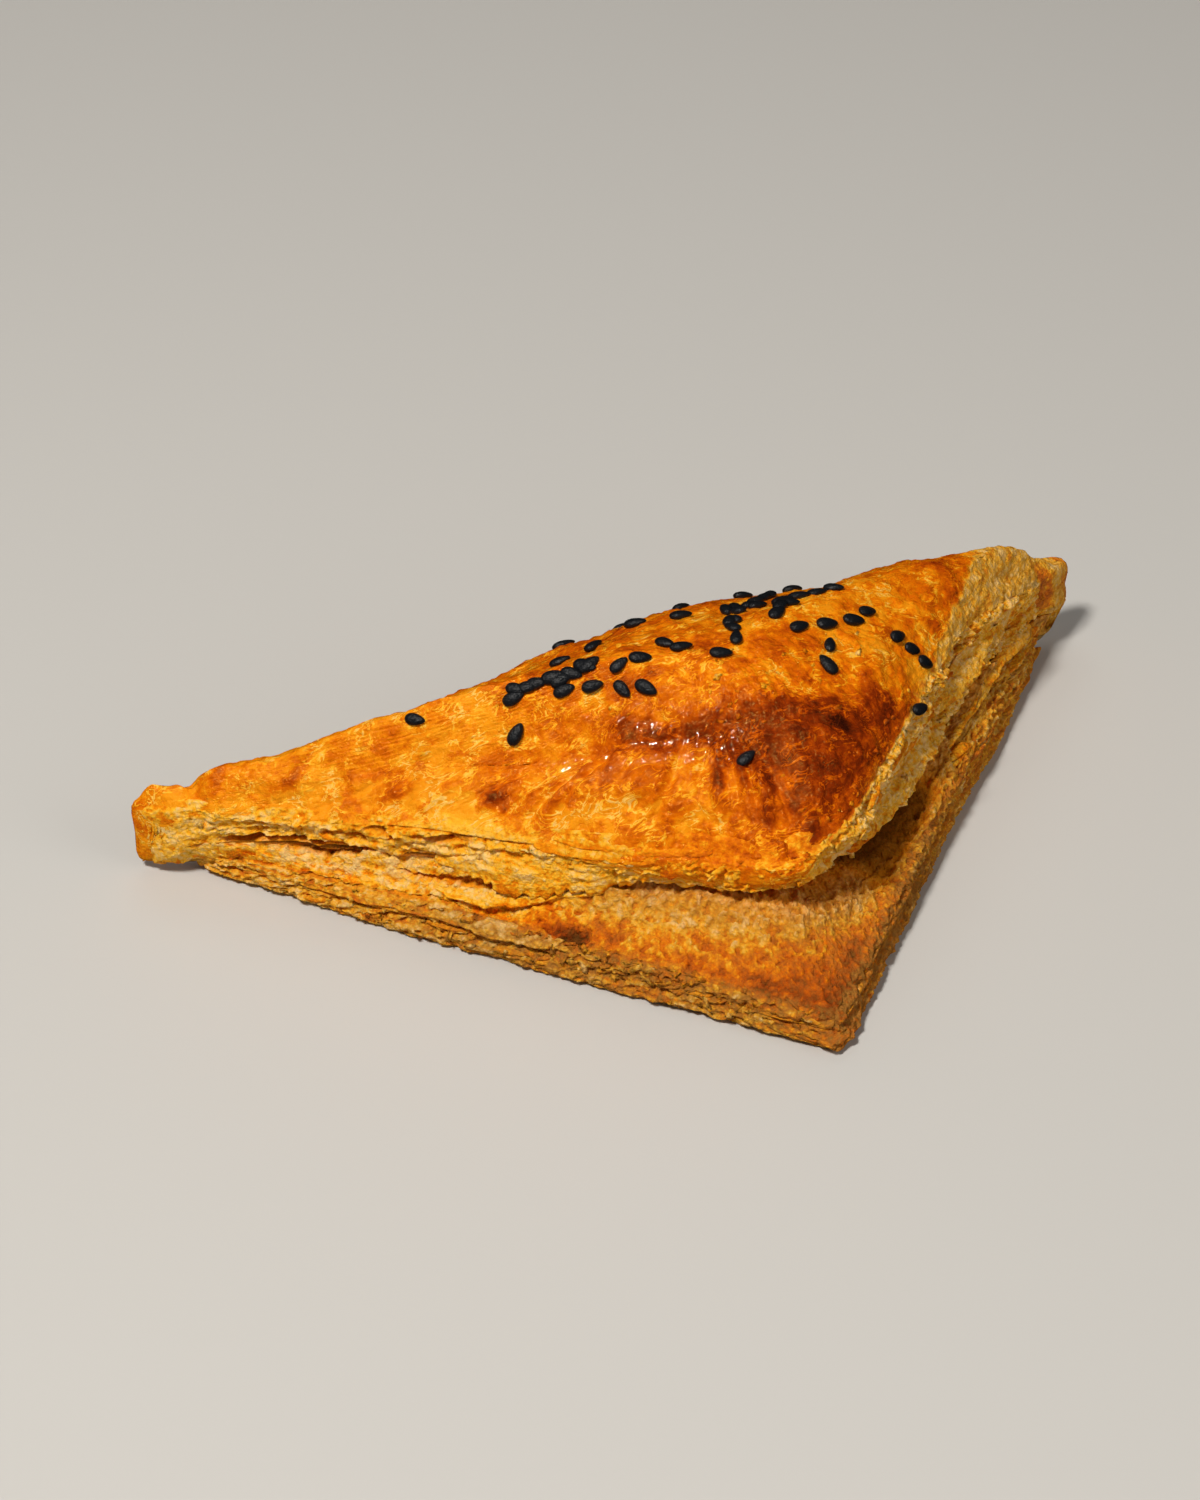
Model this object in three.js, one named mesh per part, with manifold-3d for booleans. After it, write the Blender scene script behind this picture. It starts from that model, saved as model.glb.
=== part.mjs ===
// Sausage puff pastry: a square sheet of layered dough folded on its diagonal over its filling and baked.
// The fold is the long back edge. The two cut sides meet at a right angle in front, where the
// puffed lid has slid back from the base sheet. Black sesame seeds are baked onto the lid.
// Millimetres, +Z up, +X along the fold, the front corner towards -Y.

import * as THREE from 'three'
import { mergeVertices } from 'three/addons/utils/BufferGeometryUtils.js'
import Module from 'manifold-3d'

// Driving dimensions
const CUT_SIDE = 95 // each cut side of the folded sheet, corner to corner
const CREST = 35 // height of the lid's highest point
const SEED = { length: 3.3, width: 2.0, thickness: 1.15, sunk: 0.2 }

// Sizes that follow from the folded square
const FOLD = CUT_SIDE * Math.SQRT2
const INRADIUS = CUT_SIDE - FOLD / 2
const OUTLINE = 2 * CUT_SIDE + FOLD

// The middle of the triangle, set so that the origin is under the middle of the finished part
const MIDDLE = { x: 0.96, y: 5.28 }

// Directions from the middle to the left cut side, the right cut side and the fold
const SIDE_DIRECTIONS = [225, 315, 90]
const LEFT_TIP = 157.5
const FRONT_CORNER = 270
const RIGHT_TIP = 382.5

const COLUMNS = 128 // points round the outline
const CORNER_CROWDING = 1.4 // extra points near the corners

// Rings of the crown: how far each has closed in, and how many columns are merged into one there
const CROWN_RINGS = [
  { step: 0.1, merged: 1 },
  { step: 0.24, merged: 2 },
  { step: 0.4, merged: 2 },
  { step: 0.56, merged: 4 },
  { step: 0.72, merged: 4 },
  { step: 0.88, merged: 8 }
]
const CROWN_SHARPNESS = 3.2

// Sizes of the unevenness
const LEAF_RELIEF = 0.55 // how far the baked leaves stand in and out of a cut side
const LIP_RELIEF = 0.35
const BLISTER_RELIEF = 0.3
const WRINKLE_RELIEF = 0.35

const CRUST_COLOUR = 0xd98a2b

const wasm = await Module()
wasm.setup()

// A size that changes round the outline. Each key is a place, in millimetres from the left tip
// by way of the front corner (95) and the right tip (190) along the fold, and the size there.
function track(...keys) {
  const closed = [...keys, [keys[0][0] + OUTLINE, keys[0][1]]]
  return place => {
    const next = closed.findIndex(([at]) => at > place)
    const [start, low] = closed[next - 1]
    const [end, high] = closed[next]
    const t = (place - start) / (end - start)
    const eased = 0.5 * t + 0.5 * t * t * (3 - 2 * t)
    return low + (high - low) * eased
  }
}

// Insets are measured inwards from the nominal triangle, heights from the surface it stands on.
const tipLift = track([0, 0.4], [16, 0.2], [34, 0], [170, 0], [190, 0.8], [205, 0.2], [257, 0], [305, 0.3])
const footInset = track(
  [0, 1.0], [12, 0.4], [40, -0.9], [80, -0.9], [95, -1.1], [112, -0.7],
  [140, -0.2], [165, -0.5], [181, 0.2], [190, 0.4], [200, 0.6], [315, 0.6])
const baseInset = track(
  [0, 0.4], [12, 1.2], [34, 1.4], [76, 1.2], [95, 1.0], [115, 0.8],
  [181, 0.4], [190, -0.4], [200, 0.1], [257, 0], [315, 0.3])
const baseHeight = track(
  [0, 1.8], [10, 4.4], [34, 5.4], [95, 5.0], [115, 6.2], [140, 7.4], [170, 6.4], [190, 4.0], [204, 5.0], [300, 4.6])
const gapInset = track(
  [0, -2.1], [5, -1.4], [14, 2.0], [34, 4.6], [55, 7.0], [76, 11.0], [95, 12.0], [115, 5.4],
  [130, 3.2], [148, 3.0], [165, 2.4], [180, 0.6], [190, -1.4], [200, -0.4], [300, -0.4], [318, -1.4])
const gapHeight = track(
  [0, 2.4], [10, 7.2], [34, 10.4], [55, 11.4], [95, 11.6], [115, 8.6], [130, 8.2],
  [148, 10.0], [165, 12.0], [180, 9.0], [190, 6.0], [204, 7.6], [257, 8.0], [315, 6.0])
const gapOpening = track(
  [0, 1.6], [12, 0.8], [34, 1.8], [55, 1.2], [76, 0.9], [95, 1.4], [112, 5.2],
  [132, 5.2], [148, 2.2], [165, 0.9], [190, 1.6], [204, 3.0], [310, 3.0])
const gapDepth = track(
  [0, 0.2], [12, 1.5], [34, 3.0], [76, 3.0], [95, 5.0], [112, 8.0], [132, 8.0],
  [148, 4.0], [165, 2.0], [181, 0.8], [190, 0.1], [204, 0], [310, 0])
const lidInset = track(
  [0, -2.1], [5, -1.4], [14, 2.0], [34, 3.6], [55, 5.0], [76, 8.4], [95, 9.2], [115, 5.2],
  [140, 4.6], [165, 4.6], [180, 1.6], [190, -1.3], [200, 0.2], [220, 0.6], [300, 0.6], [318, -1.0])
const lidHeight = track(
  [0, 11.4], [12, 12.4], [34, 15.0], [76, 18.0], [95, 19.5], [115, 21.5], [140, 22.5], [162, 22.0],
  [174, 19.0], [183, 15.0], [190, 12.4], [199, 13.5], [220, 14.5], [257, 15.0], [300, 12.5], [315, 11.0])
const sideInset = track(
  [0, -0.4], [14, 4.8], [34, 8.0], [55, 10.0], [76, 13.0], [95, 13.0], [115, 8.0],
  [165, 7.0], [181, 3.6], [190, 0.4], [200, 3.0], [220, 4.0], [257, 4.5], [300, 3.6], [315, 1.8])
const sideHeight = track(
  [0, 13.8], [12, 15.2], [34, 19.4], [55, 23.2], [76, 24.5], [95, 25.0], [140, 26.5], [162, 25.6],
  [174, 22.4], [183, 18.0], [190, 15.0], [199, 18.0], [210, 21.0], [257, 23.2], [300, 17.6], [315, 14.6])
const shoulderInset = track(
  [0, 4.2], [12, 7.6], [34, 13.0], [55, 16.5], [76, 19.5], [95, 19.0], [115, 15.0],
  [165, 12.0], [181, 7.6], [190, 4.8], [199, 7.0], [220, 10.0], [257, 11.0], [300, 8.0], [315, 6.0])
const shoulderHeight = track(
  [0, 18.0], [12, 18.5], [34, 22.6], [55, 26.8], [76, 28.5], [95, 29.5], [115, 30.6], [140, 31.2],
  [165, 29.6], [181, 25.6], [190, 23.2], [199, 24.6], [216, 26.2], [230, 27.6], [257, 30.0],
  [274, 27.6], [289, 23.8], [300, 21.6], [315, 19.0])

// How tight the corners are: a larger power is tighter. The lid is rounder than the base.
const baseSharpness = track([0, 18], [30, 36], [95, 34], [160, 36], [190, 18], [222, 36], [294, 36])
const lidSharpness = track([0, 18], [30, 30], [65, 22], [95, 12], [125, 22], [160, 30], [190, 18], [222, 30], [294, 30])
const SHOULDER_ROUNDING = 0.6 // the shoulder's corners are rounder again than the lid's lip

// How far the torn leaves show: fully on the two cut sides and faintly on the smooth fold.
const leafShow = track([0, 0.3], [14, 1], [178, 1], [190, 0.3], [204, 0.15], [310, 0.15])

// Flakes that lift off the cut sides, and holes where the dough has burst.
// level runs up the section: 0 is the foot of the base, 1 the top of the lid's wall.
const TORN_SPOTS = [
  { place: 150, level: 0.9, width: 5, out: 1.3 },
  { place: 121, level: 0.75, width: 6, out: 0.8 },
  { place: 104, level: 0.9, width: 4, out: 0.7 },
  { place: 58, level: 0.3, width: 3, out: -1.6 },
  { place: 26, level: 0.6, width: 7, out: -0.7 },
  { place: 44, level: 0.62, width: 6, out: 0.8 },
  { place: 82, level: 0.2, width: 4, out: -0.6 },
  { place: 172, level: 0.15, width: 5, out: 0.7 }
]

// Raised and sunk places of the lid: puffed blisters and stretched folds, from the part's middle.
const BLISTERS = [
  { x: 12, y: -10, size: 6, rise: 0.7 },
  { x: -8, y: 2, size: 7, rise: 0.5 },
  { x: 30, y: 12, size: 6, rise: -0.5 },
  { x: -30, y: 14, size: 6, rise: 0.5 },
  { x: 22, y: 2, size: 4, rise: 0.5 },
  { x: 0, y: -14, size: 5, rise: -0.4 },
  { x: 40, y: 20, size: 5, rise: 0.6 }
]

// Groups of seeds, each strewn along a line on the lid, measured from the middle of the fold.
const SEED_DRIFTS = [
  { from: [-24.5, -19.2], to: [-14.2, -22.4], count: 9, spread: 0.5, turn: -18 },
  { from: [-18.4, -22.6], to: [-15.2, -24.0], count: 2, spread: 0.2, turn: -20 },
  { from: [-15.8, -15.4], to: [-11.3, -15.6], count: 2, spread: 0.4, turn: 5 },
  { from: [-24.8, -22.2], to: [-24.8, -22.2], count: 1, spread: 0, turn: 60 },
  { from: [-35.5, -14.3], to: [-35.5, -14.3], count: 1, spread: 0, turn: -15 },
  { from: [-11.4, -24.2], to: [-8.6, -24.6], count: 2, spread: 0.2, turn: -12 },
  { from: [-12.0, -26.6], to: [-9.4, -28.2], count: 2, spread: 0, turn: -65 },
  { from: [-4.4, -22.6], to: [-3.2, -25.0], count: 2, spread: 0, turn: -40 },
  { from: [-4.2, -12.6], to: [1.2, -15.4], count: 2, spread: 0.2, turn: -10 },
  { from: [9.0, -14.2], to: [3.8, -26.4], count: 7, spread: 1.0, turn: 80 },
  { from: [10.8, -15.2], to: [16.2, -11.4], count: 4, spread: 0.5, turn: 25 },
  { from: [11.8, -17.6], to: [12.4, -23.2], count: 4, spread: 1.8, turn: 10 },
  { from: [14.6, -18.2], to: [22.9, -17.0], count: 4, spread: 0.9, turn: -15 },
  { from: [0.7, -28.5], to: [0.7, -28.5], count: 1, spread: 0, turn: -22 },
  { from: [13.2, -25.2], to: [17.5, -25.0], count: 2, spread: 0.3, turn: 20 },
  { from: [15.9, -28.8], to: [14.1, -32.0], count: 2, spread: 0, turn: 85 },
  { from: [21.7, -24.0], to: [24.6, -22.2], count: 2, spread: 0, turn: -12 },
  { from: [27.0, -26.2], to: [30.6, -27.4], count: 3, spread: 0.4, turn: 8 },
  { from: [26.6, -34.2], to: [-1.2, -40.8], count: 2, spread: 0, turn: 40 },
  { from: [-10, -7], to: [22, -7], count: 5, spread: 1.6, turn: 20 }
]

const radians = THREE.MathUtils.degToRad

// A repeatable draw between -1 and 1, from a number that names what it is for.
function draw(name) {
  const value = Math.sin(name * 12.9898 + 4.1414) * 43758.5453
  return 2 * (value - Math.floor(value)) - 1
}

// Distance from the middle to the triangle's outline, moved in by inset and rounded at its corners.
function reach(angle, inset, sharpness) {
  let sum = 0
  for (const direction of SIDE_DIRECTIONS) {
    const along = Math.max(Math.cos(angle - radians(direction)), 0)
    sum += (along / (INRADIUS - inset)) ** sharpness
  }
  return sum ** (-1 / sharpness)
}

// Place along the outline, in millimetres from the left tip, of a direction from the middle.
function placeOf(angle) {
  const degrees = THREE.MathUtils.radToDeg(angle)
  const sides = [
    { first: LEFT_TIP, last: FRONT_CORNER, direction: 225, start: 0 },
    { first: FRONT_CORNER, last: RIGHT_TIP, direction: 315, start: CUT_SIDE },
    { first: RIGHT_TIP, last: LEFT_TIP + 360, direction: 450, start: 2 * CUT_SIDE }
  ]
  const side = sides.find(({ last }) => degrees < last) ?? sides[2]
  const alongFrom = degree => INRADIUS * Math.tan(radians(degree - side.direction))
  return side.start + alongFrom(degrees) - alongFrom(side.first)
}

const EVEN_SHARPNESS = 40

// Directions of the columns: even steps along the outline, closer together at the corners.
function columnAngles() {
  const samples = 3600
  const angles = []
  const lengths = [0]
  let previous = null
  for (let i = 0; i <= samples; i++) {
    const angle = radians(LEFT_TIP) + (2 * Math.PI * i) / samples
    const distance = reach(angle, 0, EVEN_SHARPNESS)
    const point = new THREE.Vector2(distance * Math.cos(angle), distance * Math.sin(angle))
    if (previous) {
      const nearCorner = Math.max(0, (distance / INRADIUS - 1.1) / 1.4)
      const step = point.distanceTo(previous) * (1 + CORNER_CROWDING * nearCorner)
      lengths.push(lengths[i - 1] + step)
    }
    angles.push(angle)
    previous = point
  }
  const columns = []
  for (let column = 0; column < COLUMNS; column++) {
    const wanted = (lengths[samples] * column) / COLUMNS
    const next = lengths.findIndex(length => length > wanted)
    const t = (wanted - lengths[next - 1]) / (lengths[next] - lengths[next - 1])
    columns.push(angles[next - 1] + (angles[next] - angles[next - 1]) * t)
  }
  return columns
}

// Waves with whole numbers of turns round the outline, so that they close on themselves.
function uneven(place, kind) {
  const turn = (2 * Math.PI * place) / OUTLINE
  const wide = 0.5 * Math.sin(13 * turn + 2.1 * kind)
  const middle = 0.35 * Math.sin(23 * turn + 5.3 * kind)
  const narrow = 0.25 * Math.sin(41 * turn + 3.7 * kind)
  return wide + middle + narrow
}

// Outward reach of the torn spots at one place and level of the wall.
function tornSpots(place, level) {
  let out = 0
  for (const spot of TORN_SPOTS) {
    const along = (place - spot.place) / spot.width
    const up = (level - spot.level) / 0.12
    out += spot.out * Math.exp(-along * along - up * up)
  }
  return out
}

// The cross-section at one place of the outline, from the flat underside up to the lid's shoulder.
// Each point is an inset, a height, its share of the torn leaves and its level up the wall.
function sectionAt(place) {
  const lift = tipLift(place)
  const foot = footInset(place)
  const base = baseInset(place)
  const baseTop = baseHeight(place)
  const gap = gapInset(place)
  const gapFloor = gapHeight(place)
  const opening = gapOpening(place)
  const depth = gapDepth(place)
  const roof = gapFloor + opening
  const lid = lidInset(place)
  const lidTop = lidHeight(place)
  const side = sideInset(place)
  const sideTop = sideHeight(place)
  const shoulder = shoulderInset(place)
  const shoulderTop = shoulderHeight(place)
  const torn = leafShow(place)
  const blend = THREE.MathUtils.lerp
  return [
    { inset: 14, height: 0, leaf: 0, level: -1 },
    { inset: foot + 2.4, height: 0.6 * lift, leaf: 0, level: -1 },
    { inset: foot + 0.5, height: lift + 0.4, leaf: 0.4, level: 0 },
    { inset: foot, height: lift + 0.3 * baseTop, leaf: 0.8, level: 0.12 },
    { inset: blend(foot, base, 0.3) + 0.25 * torn, height: lift + 0.55 * baseTop, leaf: 1, level: 0.22 },
    { inset: blend(foot, base, 0.5), height: 0.82 * baseTop, leaf: 1, level: 0.3 },
    { inset: base, height: baseTop, leaf: 0.8, level: 0.36 },
    { inset: blend(base, gap, 0.45), height: blend(baseTop, gapFloor, 0.4), leaf: 0.8, level: 0.43 },
    { inset: blend(base, gap, 0.8), height: blend(baseTop, gapFloor, 0.85), leaf: 0.8, level: 0.5 },
    { inset: gap + 0.15 * torn, height: gapFloor, leaf: 0.5, level: 0.55 },
    { inset: gap + depth, height: gapFloor + 0.35 * opening, leaf: 0.2, level: 0.58 },
    { inset: gap + depth, height: gapFloor + 0.65 * opening, leaf: 0.2, level: 0.6 },
    { inset: gap + 0.1 * depth, height: roof, leaf: 0.5, level: 0.62 },
    { inset: blend(gap, lid, 0.5) - 0.2 * torn, height: roof + 0.9, leaf: 1, level: 0.68 },
    { inset: lid + 0.3 * torn, height: blend(roof, lidTop, 0.45), leaf: 1, level: 0.8 },
    { inset: lid - 0.1 * torn, height: blend(roof, lidTop, 0.72), leaf: 1, level: 0.9 },
    { inset: lid, height: lidTop - 0.7, leaf: 0.7, level: 1 },
    { inset: blend(lid, side, 0.18), height: blend(lidTop, sideTop, 0.2 * (1 - torn)), leaf: 0.3, level: 2 },
    { inset: blend(lid, side, 0.55), height: blend(lidTop, sideTop, 0.5), leaf: 0, level: 2, round: 0.9 },
    { inset: side, height: sideTop, leaf: 0, level: 2, round: 0.8 },
    { inset: blend(side, shoulder, 0.45), height: blend(sideTop, shoulderTop, 0.56), leaf: 0, level: 2, round: 0.7 },
    { inset: shoulder, height: shoulderTop, leaf: 0, level: 2, round: SHOULDER_ROUNDING }
  ]
}

// Height added to the lid by blisters, by the wrinkles down its steep sides and by a slow waviness.
function lidRelief(x, y, place, steepness) {
  let rise = BLISTER_RELIEF * Math.sin(x / 3.9 + 1.2 * Math.sin(y / 6.1)) * Math.cos(y / 4.7 + 0.8)
  for (const blister of BLISTERS) {
    const across = (x - blister.x) / blister.size
    const along = (y - blister.y) / blister.size
    rise += blister.rise * Math.exp(-across * across - along * along)
  }
  return rise + WRINKLE_RELIEF * steepness * uneven(place, 9)
}

// All rings of points, from the underside outwards and up to the crown.
function pastryRings() {
  const levels = sectionAt(0).length
  const rings = Array.from({ length: levels + CROWN_RINGS.length }, () => [])
  const pointAt = (angle, distance, height) =>
    new THREE.Vector3(MIDDLE.x + distance * Math.cos(angle), MIDDLE.y + distance * Math.sin(angle), height)
  columnAngles().forEach((angle, column) => {
    const place = placeOf(angle)
    const section = sectionAt(place)
    const roundLid = lidSharpness(place)
    section.forEach(({ inset, height, leaf, level, round }, ring) => {
      const sharpness = (level > 0.6 ? roundLid : baseSharpness(place)) * (round ?? 1)
      const relief = LEAF_RELIEF * leaf * leafShow(place) * uneven(place, ring)
      const torn = leafShow(place) * tornSpots(place, level)
      const distance = reach(angle, inset - relief - torn, sharpness)
      const point = pointAt(angle, distance, height)
      if (level > 0.5 && level < 1) point.z += LIP_RELIEF * leafShow(place) * uneven(place, 31 + level)
      if (level === 2) point.z += lidRelief(point.x, point.y, place, 1)
      rings[ring].push(point)
    })
    const shoulder = section.at(-1)
    CROWN_RINGS.forEach(({ step, merged }, index) => {
      if (column % merged) return
      const sharpness = THREE.MathUtils.lerp(SHOULDER_ROUNDING * roundLid, CROWN_SHARPNESS, Math.sqrt(step))
      const distance = reach(angle, shoulder.inset, sharpness) * (1 - step)
      const dome = shoulder.height + (CREST - shoulder.height) * Math.sin((Math.PI / 2) * step)
      const point = pointAt(angle, distance, dome)
      point.z += lidRelief(point.x, point.y, place, Math.max(0, 1 - 3 * step))
      rings[levels + index].push(point)
    })
  })
  return rings
}

// A closed skin over a stack of rings, shut by a point under the middle and one on the crown.
// Where the next ring has half as many points, each pair of columns becomes one.
function skinOver(rings) {
  const points = rings.flat()
  const bottom = points.push(new THREE.Vector3(MIDDLE.x, MIDDLE.y, 0)) - 1
  const crownHeight = CREST + lidRelief(MIDDLE.x, MIDDLE.y, 0, 0)
  const crown = points.push(new THREE.Vector3(MIDDLE.x, MIDDLE.y, crownHeight)) - 1
  const faces = []
  const first = rings[0].length
  for (let column = 0; column < first; column++) {
    faces.push(bottom, (column + 1) % first, column)
  }
  let low = 0
  for (let ring = 0; ring < rings.length - 1; ring++) {
    const columns = rings[ring].length
    const high = low + columns
    const merged = columns / rings[ring + 1].length
    for (let column = 0; column < columns; column += merged) {
      const beside = (column + merged) % columns
      const inner = low + column + merged - 1
      const over = high + column / merged
      const overBeside = high + beside / merged
      if (merged === 2) faces.push(low + column, inner, over)
      faces.push(inner, low + beside, overBeside)
      faces.push(inner, overBeside, over)
    }
    low = high
  }
  const last = rings.at(-1).length
  for (let column = 0; column < last; column++) {
    faces.push(low + column, low + ((column + 1) % last), crown)
  }
  const geometry = new THREE.BufferGeometry()
  geometry.setAttribute('position', new THREE.Float32BufferAttribute(points.flatMap(p => [p.x, p.y, p.z]), 3))
  geometry.setIndex(faces)
  return geometry
}

// One seed: a flat drop, blunt at one end and pointed at the other, with its long axis along X.
function seedGeometry() {
  const sphere = new THREE.SphereGeometry(0.5, 6, 3).rotateZ(Math.PI / 2)
  sphere.deleteAttribute('normal')
  sphere.deleteAttribute('uv')
  const seed = mergeVertices(sphere, 1e-4)
  const position = seed.getAttribute('position')
  for (let i = 0; i < position.count; i++) {
    const narrowing = 1 - 0.5 * position.getX(i)
    position.setXYZ(
      i,
      position.getX(i) * SEED.length,
      position.getY(i) * SEED.width * narrowing,
      position.getZ(i) * SEED.thickness * narrowing)
  }
  return seed
}

// Seeds laid on the lid: each drift strews its seeds along its line, turned a little at random.
function seedGeometries(crust) {
  const ray = new THREE.Raycaster()
  const lid = new THREE.Mesh(crust, new THREE.MeshBasicMaterial({ side: THREE.DoubleSide }))
  const seeds = []
  SEED_DRIFTS.forEach(({ from, to, count, spread, turn }, drift) => {
    for (let i = 0; i < count; i++) {
      const name = 100 * drift + 10 * i
      const t = count > 1 ? i / (count - 1) : 0
      const x = MIDDLE.x + THREE.MathUtils.lerp(from[0], to[0], t) + spread * draw(name + 1)
      const y = MIDDLE.y + INRADIUS + THREE.MathUtils.lerp(from[1], to[1], t) + spread * draw(name + 2)
      ray.set(new THREE.Vector3(x, y, 2 * CREST), new THREE.Vector3(0, 0, -1))
      const hit = ray.intersectObject(lid)[0]
      const normal = hit.face.normal
      const heading = radians(turn + 35 * draw(name + 3))
      const lengthwise = new THREE.Vector3(Math.cos(heading), Math.sin(heading), 0)
      lengthwise.addScaledVector(normal, -lengthwise.dot(normal)).normalize()
      const sideways = new THREE.Vector3().crossVectors(normal, lengthwise)
      const size = 1 + 0.1 * draw(name + 4)
      const place = new THREE.Matrix4().makeBasis(lengthwise, sideways, normal)
      place.scale(new THREE.Vector3(size, size, size))
      place.setPosition(hit.point.clone().addScaledVector(normal, SEED.thickness / 2 - SEED.sunk))
      seeds.push(seedGeometry().applyMatrix4(place))
    }
  })
  return seeds
}

function toSolid(geometry) {
  const vertProperties = new Float32Array(geometry.getAttribute('position').array)
  const triVerts = new Uint32Array(geometry.getIndex().array)
  return new wasm.Manifold(new wasm.Mesh({ numProp: 3, vertProperties, triVerts }))
}

function toGeometry(solid) {
  const { vertProperties, triVerts } = solid.getMesh()
  const geometry = new THREE.BufferGeometry()
  geometry.setAttribute('position', new THREE.BufferAttribute(vertProperties, 3))
  geometry.setIndex(new THREE.BufferAttribute(triVerts, 1))
  geometry.computeVertexNormals()
  return geometry
}

// The outer skin alone, so that a pocket sealed between two crossed seeds is filled.
function largestBody(solid) {
  const bodies = solid.decompose()
  return bodies.reduce((best, body) => (body.volume() > best.volume() ? body : best))
}

function buildPastry() {
  const crust = skinOver(pastryRings())
  let solid = toSolid(crust)
  for (const seed of seedGeometries(crust)) {
    solid = solid.add(toSolid(seed))
  }
  const material = new THREE.MeshStandardMaterial({ color: CRUST_COLOUR, roughness: 0.5, metalness: 0 })
  const pastry = new THREE.Mesh(toGeometry(largestBody(solid)), material)
  pastry.name = 'puff_pastry'
  return pastry
}

const turnover = new THREE.Group()
turnover.name = 'sausage_puff_pastry'
turnover.add(buildPastry())

export default turnover
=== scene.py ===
# %% [markdown]
# # A sausage puff pastry
# A square of layered dough is folded corner to corner over its filling, brushed with egg, strewn
# with black sesame and baked. The fold is the long back edge. Along the two cut sides the dough
# has puffed into leaves, and in front the lid has slid back from the base sheet.
# The solid model of the pastry is loaded first, because its box fixes the size of every piece.

import math

import bpy
import numpy as np
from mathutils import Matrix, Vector


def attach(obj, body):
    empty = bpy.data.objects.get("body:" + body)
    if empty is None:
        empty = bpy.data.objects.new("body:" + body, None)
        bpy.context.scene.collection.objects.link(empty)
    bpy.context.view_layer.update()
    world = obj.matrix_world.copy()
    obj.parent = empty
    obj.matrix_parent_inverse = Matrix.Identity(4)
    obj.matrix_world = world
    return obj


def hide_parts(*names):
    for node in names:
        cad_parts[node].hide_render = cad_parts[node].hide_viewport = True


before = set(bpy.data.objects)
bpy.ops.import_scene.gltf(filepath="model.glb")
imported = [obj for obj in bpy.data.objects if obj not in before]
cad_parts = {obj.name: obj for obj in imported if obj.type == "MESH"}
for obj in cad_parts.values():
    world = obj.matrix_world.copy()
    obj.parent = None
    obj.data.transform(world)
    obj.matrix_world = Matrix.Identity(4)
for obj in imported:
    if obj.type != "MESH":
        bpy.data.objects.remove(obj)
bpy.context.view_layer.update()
MM = 0.001

# %% [markdown]
# ## Camera
# The pastry is seen from its front left and from above, with a long lens from about half a metre.
# A camera on a sphere round its target needs only a turn, a height angle and a distance, so those
# three are named. The camera comes first, so that every later look is from the right place.

# %% Camera
TARGET = Vector((-2.67, 33.58, 0)) * MM
TURN = math.radians(-22.95)
RISE = math.radians(38.0)
DISTANCE = 489.4 * MM

away = Vector((math.sin(TURN) * math.cos(RISE), -math.cos(TURN) * math.cos(RISE), math.sin(RISE)))
camera_data = bpy.data.cameras.new("camera")
camera_data.lens = 85
camera_data.sensor_width = 36
camera_data.clip_start = 0.01
camera = bpy.data.objects.new("camera", camera_data)
camera.location = TARGET + away * DISTANCE
camera.rotation_euler = (-away).to_track_quat("-Z", "Y").to_euler()
bpy.context.collection.objects.link(camera)
bpy.context.scene.camera = camera
print("camera stands at, mm:", [round(v / MM, 1) for v in camera.location])

# %% [markdown]
# ## Sizes round the outline
# Seen from above the pastry is half a square: two cut sides of 95 mm and a fold of 134 mm. A place
# on the outline is its distance in millimetres from the left tip, by way of the front corner at 95
# and the right tip at 190. Every size that changes round the pastry is a track: a few places with
# the size there, eased from one to the next. Insets run inwards from the nominal triangle, and
# heights up from the table.

# %% Tracks
CUT_SIDE = 95.0
CREST = 35.0
FOLD = CUT_SIDE * math.sqrt(2)
INRADIUS = CUT_SIDE - FOLD / 2
OUTLINE = 2 * CUT_SIDE + FOLD
MIDDLE = np.array([0.96, 5.28])


def track(*keys):
    """A size at each place: straight between the keys, half eased so that it leaves and arrives gently."""
    places = np.array([at for at, _ in keys] + [keys[0][0] + OUTLINE])
    sizes = np.array([size for _, size in keys] + [keys[0][1]])

    def size_at(place):
        """The size at any place: half a straight line and half an S-shaped rise between two keys."""
        wrapped = np.mod(place, OUTLINE)
        start = np.clip(np.searchsorted(places, wrapped, side="right") - 1, 0, len(places) - 2)
        t = (wrapped - places[start]) / (places[start + 1] - places[start])
        eased = 0.5 * t + 0.5 * t * t * (3 - 2 * t)
        return sizes[start] + (sizes[start + 1] - sizes[start]) * eased

    return size_at


# the underside's rise at the tips, then the base sheet: insets of its foot and upper edge, and its height
tip_lift = track([0, 0.4], [16, 0.2], [34, 0], [170, 0], [190, 0.8], [205, 0.2], [257, 0], [305, 0.3])
foot_inset = track(
    [0, 1.0], [12, 0.4], [40, -0.9], [80, -0.9], [95, -1.1], [112, -0.7],
    [140, -0.2], [165, -0.5], [181, 0.2], [190, 0.4], [200, 0.6], [315, 0.6])
base_inset = track(
    [0, 0.4], [12, 1.2], [34, 1.4], [76, 1.2], [95, 1.0], [115, 0.8],
    [181, 0.4], [190, -0.4], [200, 0.1], [257, 0], [315, 0.3])
base_height = track(
    [0, 1.8], [10, 4.4], [34, 5.4], [95, 5.0], [115, 6.2], [140, 7.4], [170, 6.4], [190, 4.0], [204, 5.0],
    [300, 4.6])
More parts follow.
